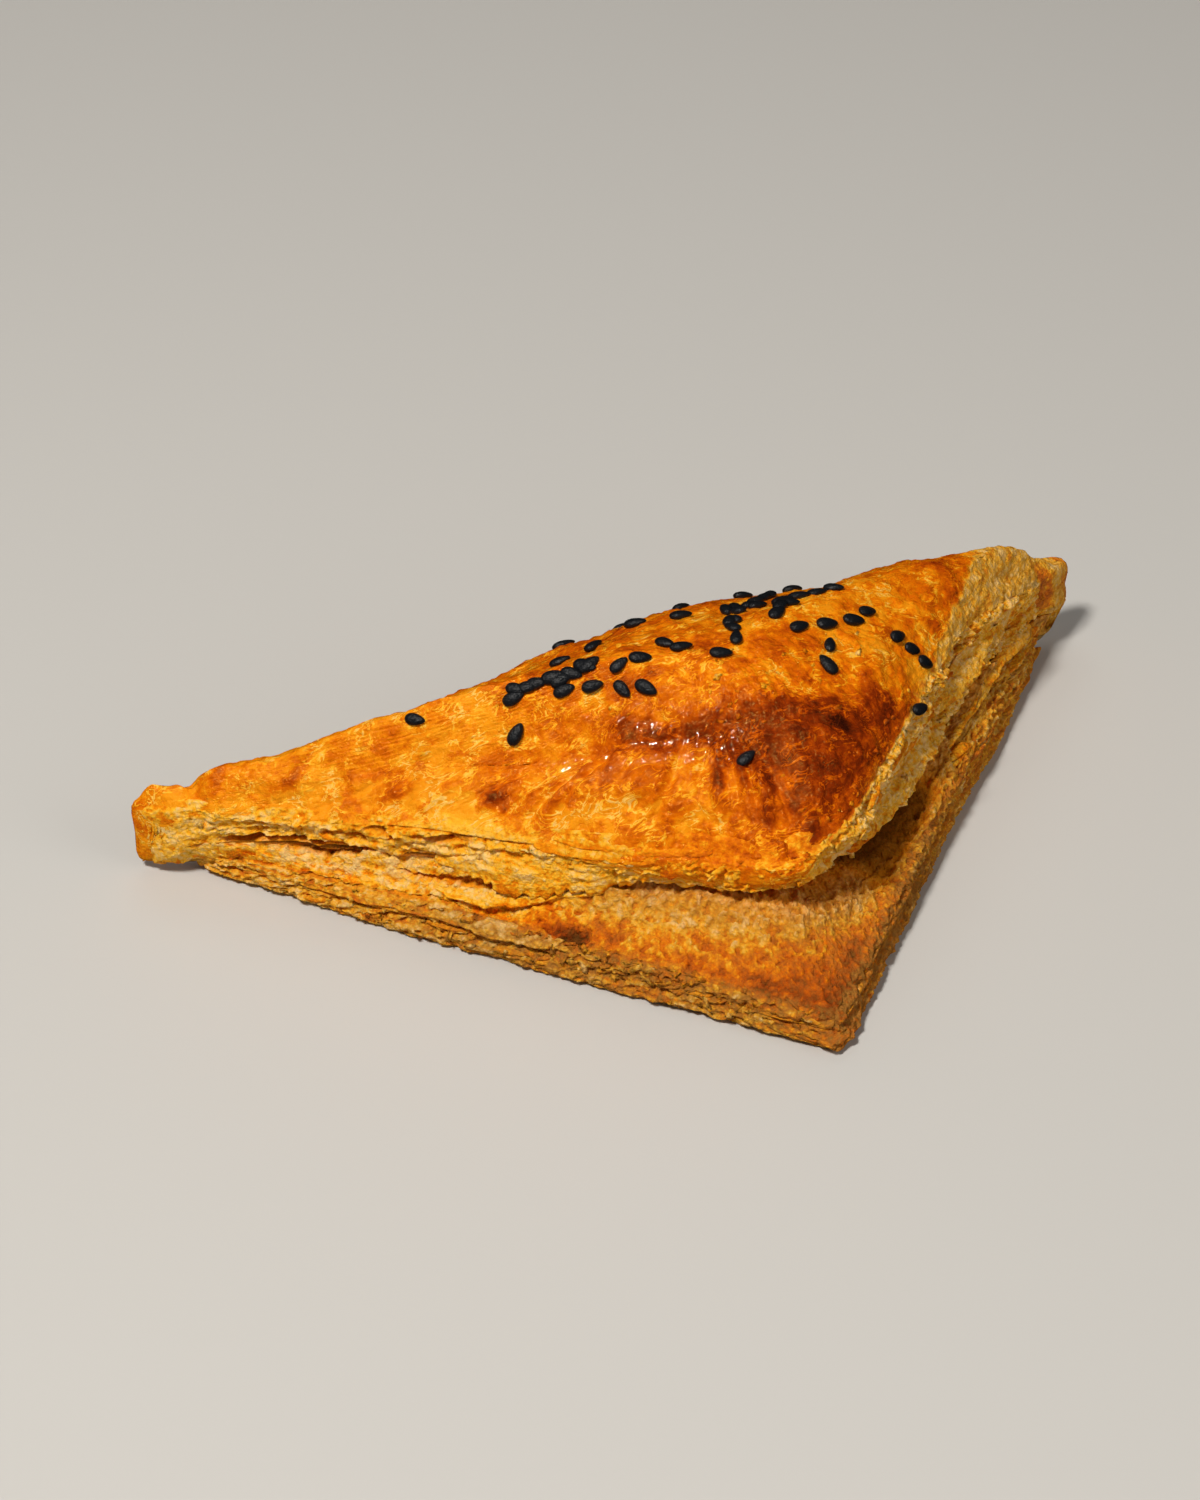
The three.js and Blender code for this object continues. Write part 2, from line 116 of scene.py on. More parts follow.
# the gap between base sheet and lid: where it starts, how high, how wide it opens, how deep it goes
gap_inset = track(
    [0, -2.1], [5, -1.4], [14, 2.0], [34, 4.6], [55, 7.0], [76, 11.0], [95, 12.0], [115, 5.4],
    [130, 3.2], [148, 3.0], [165, 2.4], [180, 0.6], [190, -1.4], [200, -0.4], [300, -0.4], [318, -1.4])
gap_height = track(
    [0, 2.4], [10, 7.2], [34, 10.4], [55, 11.4], [95, 11.6], [115, 8.6], [130, 8.2],
    [148, 10.0], [165, 12.0], [180, 9.0], [190, 6.0], [204, 7.6], [257, 8.0], [315, 6.0])
gap_opening = track(
    [0, 0.3], [3, 0.2], [9, 0.2], [13, 0.8], [20, 0.8], [25, 0.3], [58, 0.3], [78, 0.3], [95, 1.6],
    [112, 5.2], [132, 5.2], [148, 2.2], [165, 0.9], [178, 0.4], [188, 0.3], [204, 3.0], [310, 3.0])
gap_depth = track(
    [0, 0.2], [10, 0.1], [14, 1.5], [20, 1.5], [25, 0.4], [58, 0.5], [78, 1.0], [95, 5.0],
    [112, 8.0], [132, 8.0], [148, 4.0], [165, 2.0], [181, 0.8], [190, 0.1], [204, 0], [310, 0])
# the lid: its lip, its steep side and its shoulder, each as an inset and a height
lid_inset = track(
    [0, -2.1], [5, -1.4], [14, 2.0], [34, 3.6], [55, 5.0], [76, 8.4], [95, 9.2], [115, 5.2],
    [140, 4.6], [165, 4.6], [180, 1.6], [190, -1.3], [200, 0.2], [220, 0.6], [300, 0.6], [318, -1.0])
lid_height = track(
    [0, 11.4], [12, 12.4], [34, 15.0], [76, 18.0], [95, 19.5], [115, 21.5], [140, 22.5], [162, 22.0],
    [174, 19.0], [183, 15.0], [190, 12.4], [199, 13.5], [220, 14.5], [257, 15.0], [300, 12.5], [315, 11.0])
side_inset = track(
    [0, -0.4], [14, 4.8], [34, 8.0], [55, 10.0], [76, 13.0], [95, 13.0], [115, 8.0],
    [165, 7.0], [181, 3.6], [190, 0.4], [200, 3.0], [220, 4.0], [257, 4.5], [300, 3.6], [315, 1.8])
side_height = track(
    [0, 13.8], [12, 15.2], [34, 19.4], [55, 23.2], [76, 24.5], [95, 25.0], [140, 26.5], [162, 25.6],
    [174, 22.4], [183, 18.0], [190, 15.0], [199, 18.0], [210, 21.0], [257, 23.2], [300, 17.6], [315, 14.6])
shoulder_inset = track(
    [0, 4.2], [12, 7.6], [34, 13.0], [55, 16.5], [76, 19.5], [95, 19.0], [115, 15.0],
    [165, 12.0], [181, 7.6], [190, 4.8], [199, 7.0], [220, 10.0], [257, 11.0], [300, 8.0], [315, 6.0])
shoulder_height = track(
    [0, 18.0], [12, 18.5], [34, 22.6], [55, 26.8], [76, 28.5], [95, 29.5], [115, 30.6], [140, 31.2],
    [165, 29.6], [181, 25.6], [190, 23.2], [199, 24.6], [216, 26.2], [230, 27.6], [257, 30.0],
    [274, 27.6], [289, 23.8], [300, 21.6], [315, 19.0])
# how sharp the corners of the plan are, and how strongly the torn leaves show
base_sharpness = track([0, 18], [30, 36], [95, 34], [160, 36], [190, 18], [222, 36], [294, 36])
lid_sharpness = track(
    [0, 18], [30, 30], [65, 22], [95, 12], [125, 22], [160, 30], [190, 18], [222, 30], [294, 30])
leaf_show = track([0, 0.3], [8, 1], [178, 1], [190, 0.3], [204, 0.15], [310, 0.15])
print("outline, mm:", round(OUTLINE, 1))

# %% [markdown]
# ## The plan of one level
# Each level of the pastry is a triangle with rounded corners. One formula gives all of it: the
# three distances to the sides are raised to a high power and summed. The higher the power, the
# sharper the corners. The same sum also gives the direction that faces straight out.

# %% Plan of one level
SIDE_DIRECTIONS = np.radians([225.0, 315.0, 90.0])
SIDE_STARTS = np.array([0.0, CUT_SIDE, 2 * CUT_SIDE])
HALF_SPANS = np.array([FOLD / 2, INRADIUS, FOLD / 2])


def angle_of(place):
    """Direction from the middle to a place: the arctangent of its distance from the side's own middle."""
    wrapped = np.mod(place, OUTLINE)
    side = np.clip(np.searchsorted(SIDE_STARTS, wrapped, side="right") - 1, 0, 2)
    along = wrapped - SIDE_STARTS[side] - HALF_SPANS[side]
    return SIDE_DIRECTIONS[side] + np.arctan2(along, INRADIUS)


def plan_point(angle, inset, sharpness):
    """The point at a direction from the middle where the powered side distances sum to one."""
    total = 0.0
    for direction in SIDE_DIRECTIONS:
        total = total + (np.maximum(np.cos(angle - direction), 0) / (INRADIUS - inset)) ** sharpness
    distance = total ** (-1 / sharpness)
    return np.stack([MIDDLE[0] + distance * np.cos(angle), MIDDLE[1] + distance * np.sin(angle)], axis=-1)


def facing_out(angle, sharpness):
    """The level direction that faces out: the side directions, weighted by how near each side is."""
    total = 0.0
    for direction in SIDE_DIRECTIONS:
        weight = np.maximum(np.cos(angle - direction), 0) ** (np.minimum(sharpness, 16) - 1)
        total = total + weight[..., None] * np.array([np.cos(direction), np.sin(direction)])
    return total / np.linalg.norm(total, axis=-1, keepdims=True)


print("left tip at, mm:", plan_point(angle_of(np.array(0.0)), 0.0, 40.0).round(1))

# %% [markdown]
# ## Unevenness
# Nothing on a baked pastry is even. Cloudy noise is worked out as whole arrays: every point of a
# lattice gets a repeatable number from its own whole-number place, and the eight round a point are
# blended. Summed at halving sizes it gives blisters and crumbs.

# %% Noise
def lattice_value(x, y, z, seed):
    """A repeatable number from 0 to 1: the lattice place times large odd numbers, its bits stirred."""
    stirred = (
        x.astype(np.int64).astype(np.uint32) * np.uint32(374761393)
        + y.astype(np.int64).astype(np.uint32) * np.uint32(668265263)
        + z.astype(np.int64).astype(np.uint32) * np.uint32(2246822519)
        + np.uint32((seed * 3266489917) % 4294967296)
    )
    stirred = (stirred ^ (stirred >> np.uint32(13))) * np.uint32(1274126177)
    stirred = (stirred ^ (stirred >> np.uint32(15))) * np.uint32(2654435761)
    return (stirred ^ (stirred >> np.uint32(16))).astype(float) / 4294967295.0


def in_cells(x, y, z, cell):
    """The point counted in cells along each axis, and the whole part of each count."""
    cells = np.broadcast_to(cell, 3)
    scaled = [np.asarray(value, float) / size for value, size in zip(np.broadcast_arrays(x, y, z), cells)]
    return scaled, [np.floor(value) for value in scaled]


def cloudy(x, y, z, cell, seed):
    """Noise from -1 to 1: the eight lattice values round each point, blended by eased distances."""
    scaled, low = in_cells(x, y, z, cell)
    ease = [(v - f) ** 2 * (3 - 2 * (v - f)) for v, f in zip(scaled, low)]
    total = 0.0
    for corner in range(8):
        step = [(corner >> axis) & 1 for axis in range(3)]
        weight = 1.0
        for e, s in zip(ease, step):
            weight = weight * (e if s else 1 - e)
        total = total + weight * lattice_value(*[f + s for f, s in zip(low, step)], seed)
    return 2 * total - 1


def billowy(x, y, z, cell, seed, layers=3):
    """Cloudy noise summed over halving cells, each layer half as strong as the last."""
    total = 0.0
    for layer in range(layers):
        share = 0.5 ** layer
        total = total + share * cloudy(x, y, z, np.multiply(cell, share), seed + 11 * layer)
    return total


def crinkled(x, y, z, cell, seed):
    """Torn crumb from about -1 to 1: noise folded at its middle, so that it rises in sharp crests."""
    folded = 0.0
    for layer, share in enumerate((1.0, 0.5)):
        folded = folded + share * (0.5 - np.abs(cloudy(x, y, z, cell * share, seed + 7 * layer)))
    return 1.3 * folded


def pebbled(x, y, z, cell, seed):
    """Lumps and each lump's own number: every cell holds one drawn centre, and the nearest centre wins."""
    scaled, low = in_cells(x, y, z, cell)
    nearest = np.full(scaled[0].shape, 9.0)
    own = np.zeros(scaled[0].shape)
    for corner in range(27):
        spot = [f + (corner // 3**axis) % 3 - 1 for axis, f in enumerate(low)]
        gaps = [v - s - lattice_value(*spot, seed + axis) for axis, (v, s) in enumerate(zip(scaled, spot))]
        distance = np.sqrt(gaps[0] ** 2 + gaps[1] ** 2 + gaps[2] ** 2)
        own = np.where(distance < nearest, lattice_value(*spot, seed + 3), own)
        nearest = np.minimum(nearest, distance)
    return 1 - nearest, 2 * own - 1


def terraced(field, step):
    """A field cut into flat sheets: whole steps, with the rise to the next packed into the end of each."""
    count = field / step
    whole = np.floor(count)
    return step * (whole + smooth(count - whole, 0.7, 1.0))


def smooth(value, low, high):
    """0 below low, 1 above high, and an S-shaped rise between them."""
    t = np.clip((value - low) / (high - low), 0, 1)
    return t * t * (3 - 2 * t)


def draw(name):
    """The repeatable draw from -1 to 1 that also places the solid model's seeds."""
    value = np.sin(name * 12.9898 + 4.1414) * 43758.5453
    return 2 * (value - np.floor(value)) - 1


# %% [markdown]
# ## The cross-section
# At each place the outside of the pastry is one line of rows, from the flat underside (row 0) up
# the base sheet's edge (rows 2 to 6), in over its shelf (to row 9), into the gap under the lid
# (rows 10 and 11), up the torn wall (rows 12 to 16) and over the lip to the shoulder (row 21).
# All pieces are cut from this one section, so they meet where the real ones meet.

# %% Cross-section
def mix(first, second, share):
    """The value that lies a share of the way from the first to the second."""
    return first + (second - first) * share


def section_rows(place):
    """Inset, height and roundness of each row at each place."""
    lift = tip_lift(place)
    foot = foot_inset(place)
    base = base_inset(place)
    base_top = base_height(place)
    gap = gap_inset(place)
    floor = gap_height(place)
    opening = gap_opening(place)
    depth = gap_depth(place)
    roof = floor + opening
    lid = lid_inset(place)
    lid_top = lid_height(place)
    side = side_inset(place)
    side_top = side_height(place)
    shoulder = shoulder_inset(place)
    shoulder_top = shoulder_height(place)
    torn = leaf_show(place)
    rows = [
        (14 + 0 * foot, 0 * foot, 1.0),
        (foot + 2.4, 0.6 * lift, 1.0),
        (foot + 0.5, lift + 0.4, 1.0),
        (foot, lift + 0.3 * base_top, 1.0),
        (mix(foot, base, 0.3) + 0.25 * torn, lift + 0.55 * base_top, 1.0),
        (mix(foot, base, 0.5), 0.82 * base_top, 1.0),
        (base, base_top, 1.0),
        (mix(base, gap, 0.45), mix(base_top, floor, 0.4), 1.0),
        (mix(base, gap, 0.8), mix(base_top, floor, 0.85), 1.0),
        (gap + 0.15 * torn, floor, 1.0),
        (gap + depth, floor + 0.35 * opening, 1.0),
        (gap + depth, floor + 0.65 * opening, 1.0),
        (gap + 0.1 * depth, roof, 1.0),
        (mix(gap, lid, 0.5) - 0.2 * torn, roof + 0.9, 1.0),
        (lid + 0.3 * torn, mix(roof, lid_top, 0.45), 1.0),
        (lid - 0.1 * torn, mix(roof, lid_top, 0.72), 1.0),
        (lid, lid_top - 0.7, 1.0),
        (mix(lid, side, 0.18), mix(lid_top, side_top, 0.2 * (1 - torn)), 1.0),
        (mix(lid, side, 0.55), mix(lid_top, side_top, 0.5), 0.9),
        (side, side_top, 0.8),
        (mix(side, shoulder, 0.45), mix(side_top, shoulder_top, 0.56), 0.7),
        (shoulder, shoulder_top, 0.6),
    ]
    whole = [[np.broadcast_to(value, place.shape) for value in row] for row in rows]
    insets, heights, roundness = np.swapaxes(np.array(whole), 0, 1)
    return insets, heights, roundness


def pick_rows(values, row):
    """The value in each column at the asked row; a row past either end gives the last one there."""
    return np.take_along_axis(values, np.clip(row, 0, len(values) - 1), axis=0)


def between_rows(values, at):
    """Values at fractional rows: a smooth curve through each row that keeps to its two neighbours' slope."""
    low = np.clip(np.floor(at).astype(int), 0, len(values) - 2)
    t = at - low
    before, a, b, after = (pick_rows(values, low + step) for step in (-1, 0, 1, 2))
    slope_a, slope_b = 0.35 * (b - before), 0.35 * (after - a)
    return (
        (2 * t**3 - 3 * t**2 + 1) * a
        + (t**3 - 2 * t**2 + t) * slope_a
        + (3 * t**2 - 2 * t**3) * b
        + (t**3 - t**2) * slope_b
    )


def skin(place, at):
    """Direction from the middle, inset, height and sharpness of the section at fractional rows, as grids."""
    insets, heights, roundness = section_rows(place)
    inset = between_rows(insets, at)
    height = between_rows(heights, at)
    angle = np.broadcast_to(angle_of(place), at.shape)
    upper = smooth(at, 11.4, 12.6)
    sharpness = base_sharpness(place) * (1 - upper) + lid_sharpness(place) * upper
    sharpness = sharpness * between_rows(roundness, at)
    return angle, inset, height, sharpness


def columns(cut_step, fold_step):
    """Places round the outline: even steps along the cut sides and other even steps along the fold."""
    cut = np.linspace(0, 2 * CUT_SIDE, round(2 * CUT_SIDE / cut_step), endpoint=False)
    fold = np.linspace(2 * CUT_SIDE, OUTLINE, round(FOLD / fold_step), endpoint=False)
    return np.concatenate([cut, fold])


def outline_run(place, height, inset):
    """Where a point lies along the leaves: its place, and its height with a third of its inset."""
    return np.stack([np.broadcast_to(place, height.shape), height + 0.35 * inset, 0 * height], -1)


# %% [markdown]
# ## From a grid to a mesh
# Every large piece is a grid of points, rows by places, closed round the outline. Its ends are
# either shut by a point or joined to each other. One helper puts the grid into a mesh. With each
# point it stores how toasted it is, how much painted shade lies on it, how much egg wash it carries,
# how much amber tone and painted shade its hollow gets, how much its leaves show and how they run, so
# that the materials can read these as attributes.
# The lid also stores where it is shiny.

# %% Mesh helpers
def grid_normals(grid):
    """Unit normals of a closed grid: the cross product of its two central differences.

    They face out where the rows run from the underside up, and in where the rows run down.
    """
    across = np.roll(grid, -1, axis=1) - np.roll(grid, 1, axis=1)
    down = np.gradient(grid, axis=0)
    normal = np.cross(across, down)
    return normal / np.maximum(np.linalg.norm(normal, axis=-1, keepdims=True), 1e-9)


def grid_faces(rows, places, joined):
    """Two triangles for each cell of the grid, wrapped across, and also down where joined."""
    row = np.arange(rows if joined else rows - 1)[:, None]
    column = np.arange(places)[None, :]
    below = row * places
    above = ((row + 1) % rows) * places
    beside = (column + 1) % places
    a, b, c, d = below + column, below + beside, above + beside, above + column
    return np.concatenate([np.stack([a, b, c], -1).reshape(-1, 3), np.stack([a, c, d], -1).reshape(-1, 3)])


def make_piece(name, points, faces, values, slot, shade_smooth=True):
    """A mesh object from arrays in millimetres. Each value is stored as an attribute of the points."""
    mesh = bpy.data.meshes.new(name)
    mesh.vertices.add(len(points))
    mesh.vertices.foreach_set("co", (points * MM).astype(np.float32).ravel())
    mesh.loops.add(faces.size)
    mesh.loops.foreach_set("vertex_index", faces.astype(np.int32).ravel())
    mesh.polygons.add(len(faces))
    mesh.polygons.foreach_set("loop_start", np.arange(0, faces.size, 3, dtype=np.int32))
    mesh.polygons.foreach_set("use_smooth", np.full(len(faces), shade_smooth))
    mesh.update(calc_edges=True)
    for key, value in values.items():
        if value.ndim == 2:
            layer = mesh.attributes.new(key, "FLOAT_VECTOR", "POINT")
            layer.data.foreach_set("vector", value.astype(np.float32).ravel())
        else:
            layer = mesh.attributes.new(key, "FLOAT", "POINT")
            layer.data.foreach_set("value", value.astype(np.float32).ravel())
    piece = bpy.data.objects.new(name, mesh)
    bpy.context.collection.objects.link(piece)
    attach(piece, "root")
    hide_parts("puff_pastry")
    print(name, len(faces), "triangles")
    return piece


def shut_ends(grid, values):
    """The grid's points with one more in the middle of each end, all the faces, and the stored values."""
    rows, places = grid.shape[:2]
    first, last = grid[0].mean(axis=0), grid[-1].mean(axis=0)
    points = np.concatenate([grid.reshape(-1, 3), first[None], last[None]])
    stored = {}
    for key, value in values.items():
        flat = value.reshape(rows * places, *value.shape[2:])
        stored[key] = np.concatenate([flat, value[0, :1], value[-1, :1]])
    column = np.arange(places)
    beside = (column + 1) % places
    bottom = np.stack([np.full(places, rows * places), beside, column], -1)
    top_row = (rows - 1) * places
    top = np.stack([top_row + column, top_row + beside, np.full(places, rows * places + 1)], -1)
    return points, np.concatenate([grid_faces(rows, places, False), bottom, top]), stored


# %% [markdown]
# ## Torn leaves
# The cut edges show the dough's leaves: each stands out or back by its own amount, tears along its
# length, and leaves a dark crease under it. As a formula, the height is counted in leaves with a
# wavy count, the whole part names the leaf and picks how far it reaches, and the fraction rounds
# its edge over and sinks the crease.

# %% Leaf relief
def leaf_relief(x, y, height, pitch, reach, crease, seed):
    """Reach of the stacked leaves, each leaf's own number and how near each point is to a seam."""
    sway = 0.55 * cloudy(x, y, height * 0.15, 11.0, seed) + 0.3 * cloudy(x, y, height * 0.3, 3.6, seed + 1)
    count = height / pitch + 1.3 * sway
    leaf = np.floor(count)
    across = 2 * (count - leaf) - 1
    rounded = 1 - across**4
    long_reach = cloudy(x, y, leaf * 7.7, (9.0, 9.0, 1.0), seed + 2)
    torn_reach = cloudy(x, y, leaf * 5.1, (1.7, 1.7, 1.0), seed + 3)
    chips = np.minimum(cloudy(x, y, leaf * 3.3, (0.8, 0.8, 1.0), seed + 4), 0.2)
    own = np.maximum(0.6 * long_reach + 0.45 * torn_reach + 0.25 * chips, -0.45)
    return reach * own * rounded - crease * (1 - rounded), own, across**4


# %% [markdown]
# Between the leaves the steam has opened lens-shaped splits. Each split follows a line of named
# places and heights, is widest in its middle and closes at both ends. Its hollow gets a painted amber
# shade, more of it where it cuts deeper.

# %% Splits
SPLITS = [
    {"line": [(9, 7.6), (14, 8.3), (19, 8.9), (25, 9.5)], "half": 1.15, "depth": 3.2},
    {"line": [(19.5, 12.0), (22, 11.6), (25, 11.2)], "half": 0.45, "depth": 1.8},
    {"line": [(24.6, 13.7), (27, 13.4), (29.4, 12.9)], "half": 0.75, "depth": 1.3},
    {"line": [(31, 13.8), (35, 14.1), (40.4, 14.6)], "half": 0.8, "depth": 1.4},
    {"line": [(29, 8.3), (33, 8.0), (38, 8.3)], "half": 0.4, "depth": 1.2},
    {"line": [(16, 4.1), (24, 4.7), (33, 5.4), (42, 5.7)], "half": 0.32, "depth": 0.9},
    {"line": [(34, 7.9), (39, 8.1), (44, 8.2), (49, 8.6), (53, 9.4)], "half": 0.8, "depth": 1.8},
    {"line": [(62, 12.9), (70, 13.4), (80, 13.9), (90, 14.4)], "half": 0.3, "depth": 0.8},
    {"line": [(121, 15.8), (130, 16.4), (140, 17.2)], "half": 0.45, "depth": 1.6},
    {"line": [(143, 14.0), (152, 15.4), (162, 16.0), (171, 15.6)], "half": 0.6, "depth": 2.4},
    {"line": [(150, 18.4), (160, 18.9), (170, 18.4)], "half": 0.4, "depth": 1.3},
    {"line": [(146, 8.0), (149, 8.3), (153, 8.4)], "half": 0.75, "depth": 2.2},
    {"line": [(158, 6.0), (170, 5.9), (182, 5.4), (187, 4.6)], "half": 0.4, "depth": 1.2},
    {"line": [(170, 13.0), (177, 12.2), (184, 10.8)], "half": 0.45, "depth": 1.2},
    {"line": [(104, 3.2), (116, 3.6), (130, 3.9), (145, 4.1)], "half": 0.3, "depth": 0.8},
]


def split_depth(place, height):
    """How far the splits cut in: an arch across each split, thinning to nothing at its two ends."""
    deepest = np.zeros(np.broadcast(place, height).shape)
    for split in SPLITS:
        at, up = np.array(split["line"], float).T
        centre = np.interp(place, at, up) + 0.25 * cloudy(place, height * 0, height * 0, 2.3, 5)
        middle, reach = (at[0] + at[-1]) / 2, (at[-1] - at[0]) / 2
        open_here = np.clip(1 - ((place - middle) / reach) ** 2, 0, 1)
        half = split["half"] * open_here**0.7 + 1e-6
        arch = np.clip(1 - ((height - centre) / half) ** 2, 0, 1)
        deepest = np.maximum(deepest, split["depth"] * open_here**0.5 * np.sqrt(arch))
    return deepest


print(len(SPLITS), "splits")

# %% [markdown]
# ## How far each part has baked
# Colour follows heat: on the egg-washed lid what stands out is browner, what lies in a hollow stays
# pale. The torn crumb is painted the other way round, with darker hollows and seams and paler crests,
# as painted shade. A few named stains add what this one pastry shows, such as the browned rim of the
# shelf and the dark patch on the lid's front. A stain is a line in the plan with a width and a
# strength, and it fades from its middle outwards. The two tips have helpers of their own, for their
# round nubs and their browning, and one more helper spreads the crumb's painted shade.

# %% Stains and tips
def stain(x, y, line, width):
    """1 on the line and falling like a bell with the distance from it."""
    line = np.array(line, float)
    nearest = np.full(np.shape(x), 1e9)
    for (ax, ay), (bx, by) in zip(line[:-1], line[1:]):
        span = max((bx - ax) ** 2 + (by - ay) ** 2, 1e-9)
        t = np.clip(((x - ax) * (bx - ax) + (y - ay) * (by - ay)) / span, 0, 1)
        nearest = np.minimum(nearest, np.hypot(x - ax - t * (bx - ax), y - ay - t * (by - ay)))
    return np.exp(-((nearest / width) ** 2))


def stained(x, y, stains):
    """All stains of a list added up, their edges broken by noise."""
    frayed_x = x + 1.3 * billowy(x, y, 0 * x, 4.0, 61, 3)
    frayed_y = y + 1.3 * billowy(x, y, 0 * x + 9, 4.0, 62, 3)
    total = 0.0
    for line, width, strength in stains:
        total = total + strength * stain(frayed_x, frayed_y, line, width)
    return total


def nub_bulge(x, height):
    """How far the tips stand out: half circles over the height, less a bell for the neck behind each nub."""
    left = 1 - smooth(x, -65.8, -62.4)
    right = smooth(x, 62.2, 65.0)
    left_round = np.sqrt(np.clip(1 - ((height - 7.5) / 7.0) ** 2, 0, 1))
    right_round = np.sqrt(np.clip(1 - ((height - 9.0) / 11.0) ** 2, 0, 1))
    left_neck = 0.35 * np.exp(-(((x + 61.8) / 1.3) ** 2)) * smooth(height, 8.0, 11.0)
    right_neck = 0.2 * np.exp(-(((x - 61.4) / 0.8) ** 2))
    return left * (2.4 * left_round - 1.8) + 0.8 * right * right_round - (left_neck + right_neck)


def nub_sag(x, height):
    """The left nub hangs a little lower than the section says: up to a good millimetre at its underside."""
    return 1.3 * (1 - smooth(x, -65.0, -61.0)) * (1 - smooth(height, 2.5, 8.0))


def tip_calm(x):
    """1 over most of the pastry, less on the two tips, whose dough is pressed together and smoother."""
    return 1 - 0.8 * (1 - smooth(x, -65.5, -60.0)) - 0.6 * smooth(x, 60.0, 65.0)


def tip_toast(x, height):
    """The two ends catch more heat: browner at the very tips, and on the left one's top."""
    ends = 0.12 * (1 - smooth(x, -70.0, -66.0)) + 0.14 * smooth(x, 65.0, 68.5)
    return ends + 0.08 * (1 - smooth(x, -67.0, -62.5)) * smooth(height, 8.0, 12.0)


def painted_shade_share(place, height):
    """How much painted shade the crumb gets: most on the base sheet's cut edge, and a little over all of the
    right side.
    """
    right = smooth(place, 94, 106)
    strip = 1 - smooth(height, base_height(place) - 0.5, base_height(place) + 0.6)
    strip_share = 0.35 + 0.45 * smooth(place, 24, 50)
    strip_share = strip_share + 0.1 * smooth(place, 90, 98) - 0.5 * smooth(place, 118, 150)
    return np.clip(strip * strip_share + 0.2 * right, 0, 1)


# each stain: its line in the plan, its width, its strength
SHELF_STAINS = [
    ([(-26.6, -4.6), (-21.2, -8.6)], 2.6, 0.2),
    ([(-33.4, 2.6), (-32.4, 1.9)], 0.9, 0.3),
    ([(-13.6, -18.3), (-13.2, -18.9)], 0.8, 0.3),
    ([(-4.0, -27.0), (2.0, -31.0), (7.5, -25.6)], 4.2, 0.26),
    ([(-16.0, -15.6), (-6.0, -24.0)], 2.6, 0.16),
    ([(1.0, -31.5), (1.2, -33.0)], 3.0, 0.16),
    ([(5.8, -26.6), (9.5, -23.0)], 1.8, 0.16),
]
LID_STAINS = [
    ([(-14.2, 3.6), (-9.8, 0.8), (-5.2, -1.4), (-1.0, -4.2)], 1.4, 0.22),
    ([(1.0, -6.2), (8.0, -8.4), (18.0, -8.6), (25.0, -3.6)], 3.8, 0.68),
    ([(0.6, -9.6), (0.2, -13.4)], 0.8, 0.2),
    ([(-2.6, -3.4), (0.8, -5.6)], 0.8, 0.12),
    ([(27.0, -1.6), (34.0, 6.4), (40.0, 14.5), (45.0, 22.0)], 1.4, 0.16),
    ([(38.0, 19.5), (44.5, 24.6)], 3.0, 0.14),
    ([(2.0, -15.0), (14.0, -15.0)], 5.0, 0.26),
    ([(-15.0, 2.5), (-8.0, 1.5)], 3.5, 0.07),
    ([(24.0, 14.0), (38.0, 22.0)], 7.0, 0.05),
    ([(-50.6, 24.2), (-46.0, 25.6)], 0.7, 0.26),
    ([(-39.5, 17.8), (-37.6, 15.8)], 1.8, 0.16),
    ([(-29.8, 7.6), (-28.4, 6.2)], 1.0, 0.28),
    ([(-27.6, 9.4), (-26.2, 5.2)], 1.6, 0.12),
    ([(-63.0, 30.6), (-58.0, 28.6)], 1.6, 0.1),
]

# %% [markdown]
# ## The base sheet: its dough
# The lower sheet has a leafy cut edge and a crumbly shelf that shows in front of the lid. Left and
# right of the front corner the shelf has risen in thin sheets, and at the corner it is plain crumb.
# One spot on the left has burst and left a hollow of dark caramel. One function gives the relief of
# all this dough, and another adds up how far each point has browned, with painted shade in its
# hollows and seams.

# %% Base sheet dough
# how far the places lie apart along the cut sides and along the fold
SHEET_STEPS = (0.238, 2.2)
CARAMEL_SPOT = [(-25.6, -5.2), (-22.4, -7.8)]
# how far the inner dough is drawn in under the crust of the tips and the fold
tuck = track(
    [0, 1.3], [1.5, 0.9], [3, 0.1], [4.5, 0], [178, 0], [183, 0.2], [187, 0.9], [190, 1.5], [200, 3.0],
    [310, 3.0], [320, 1.8])


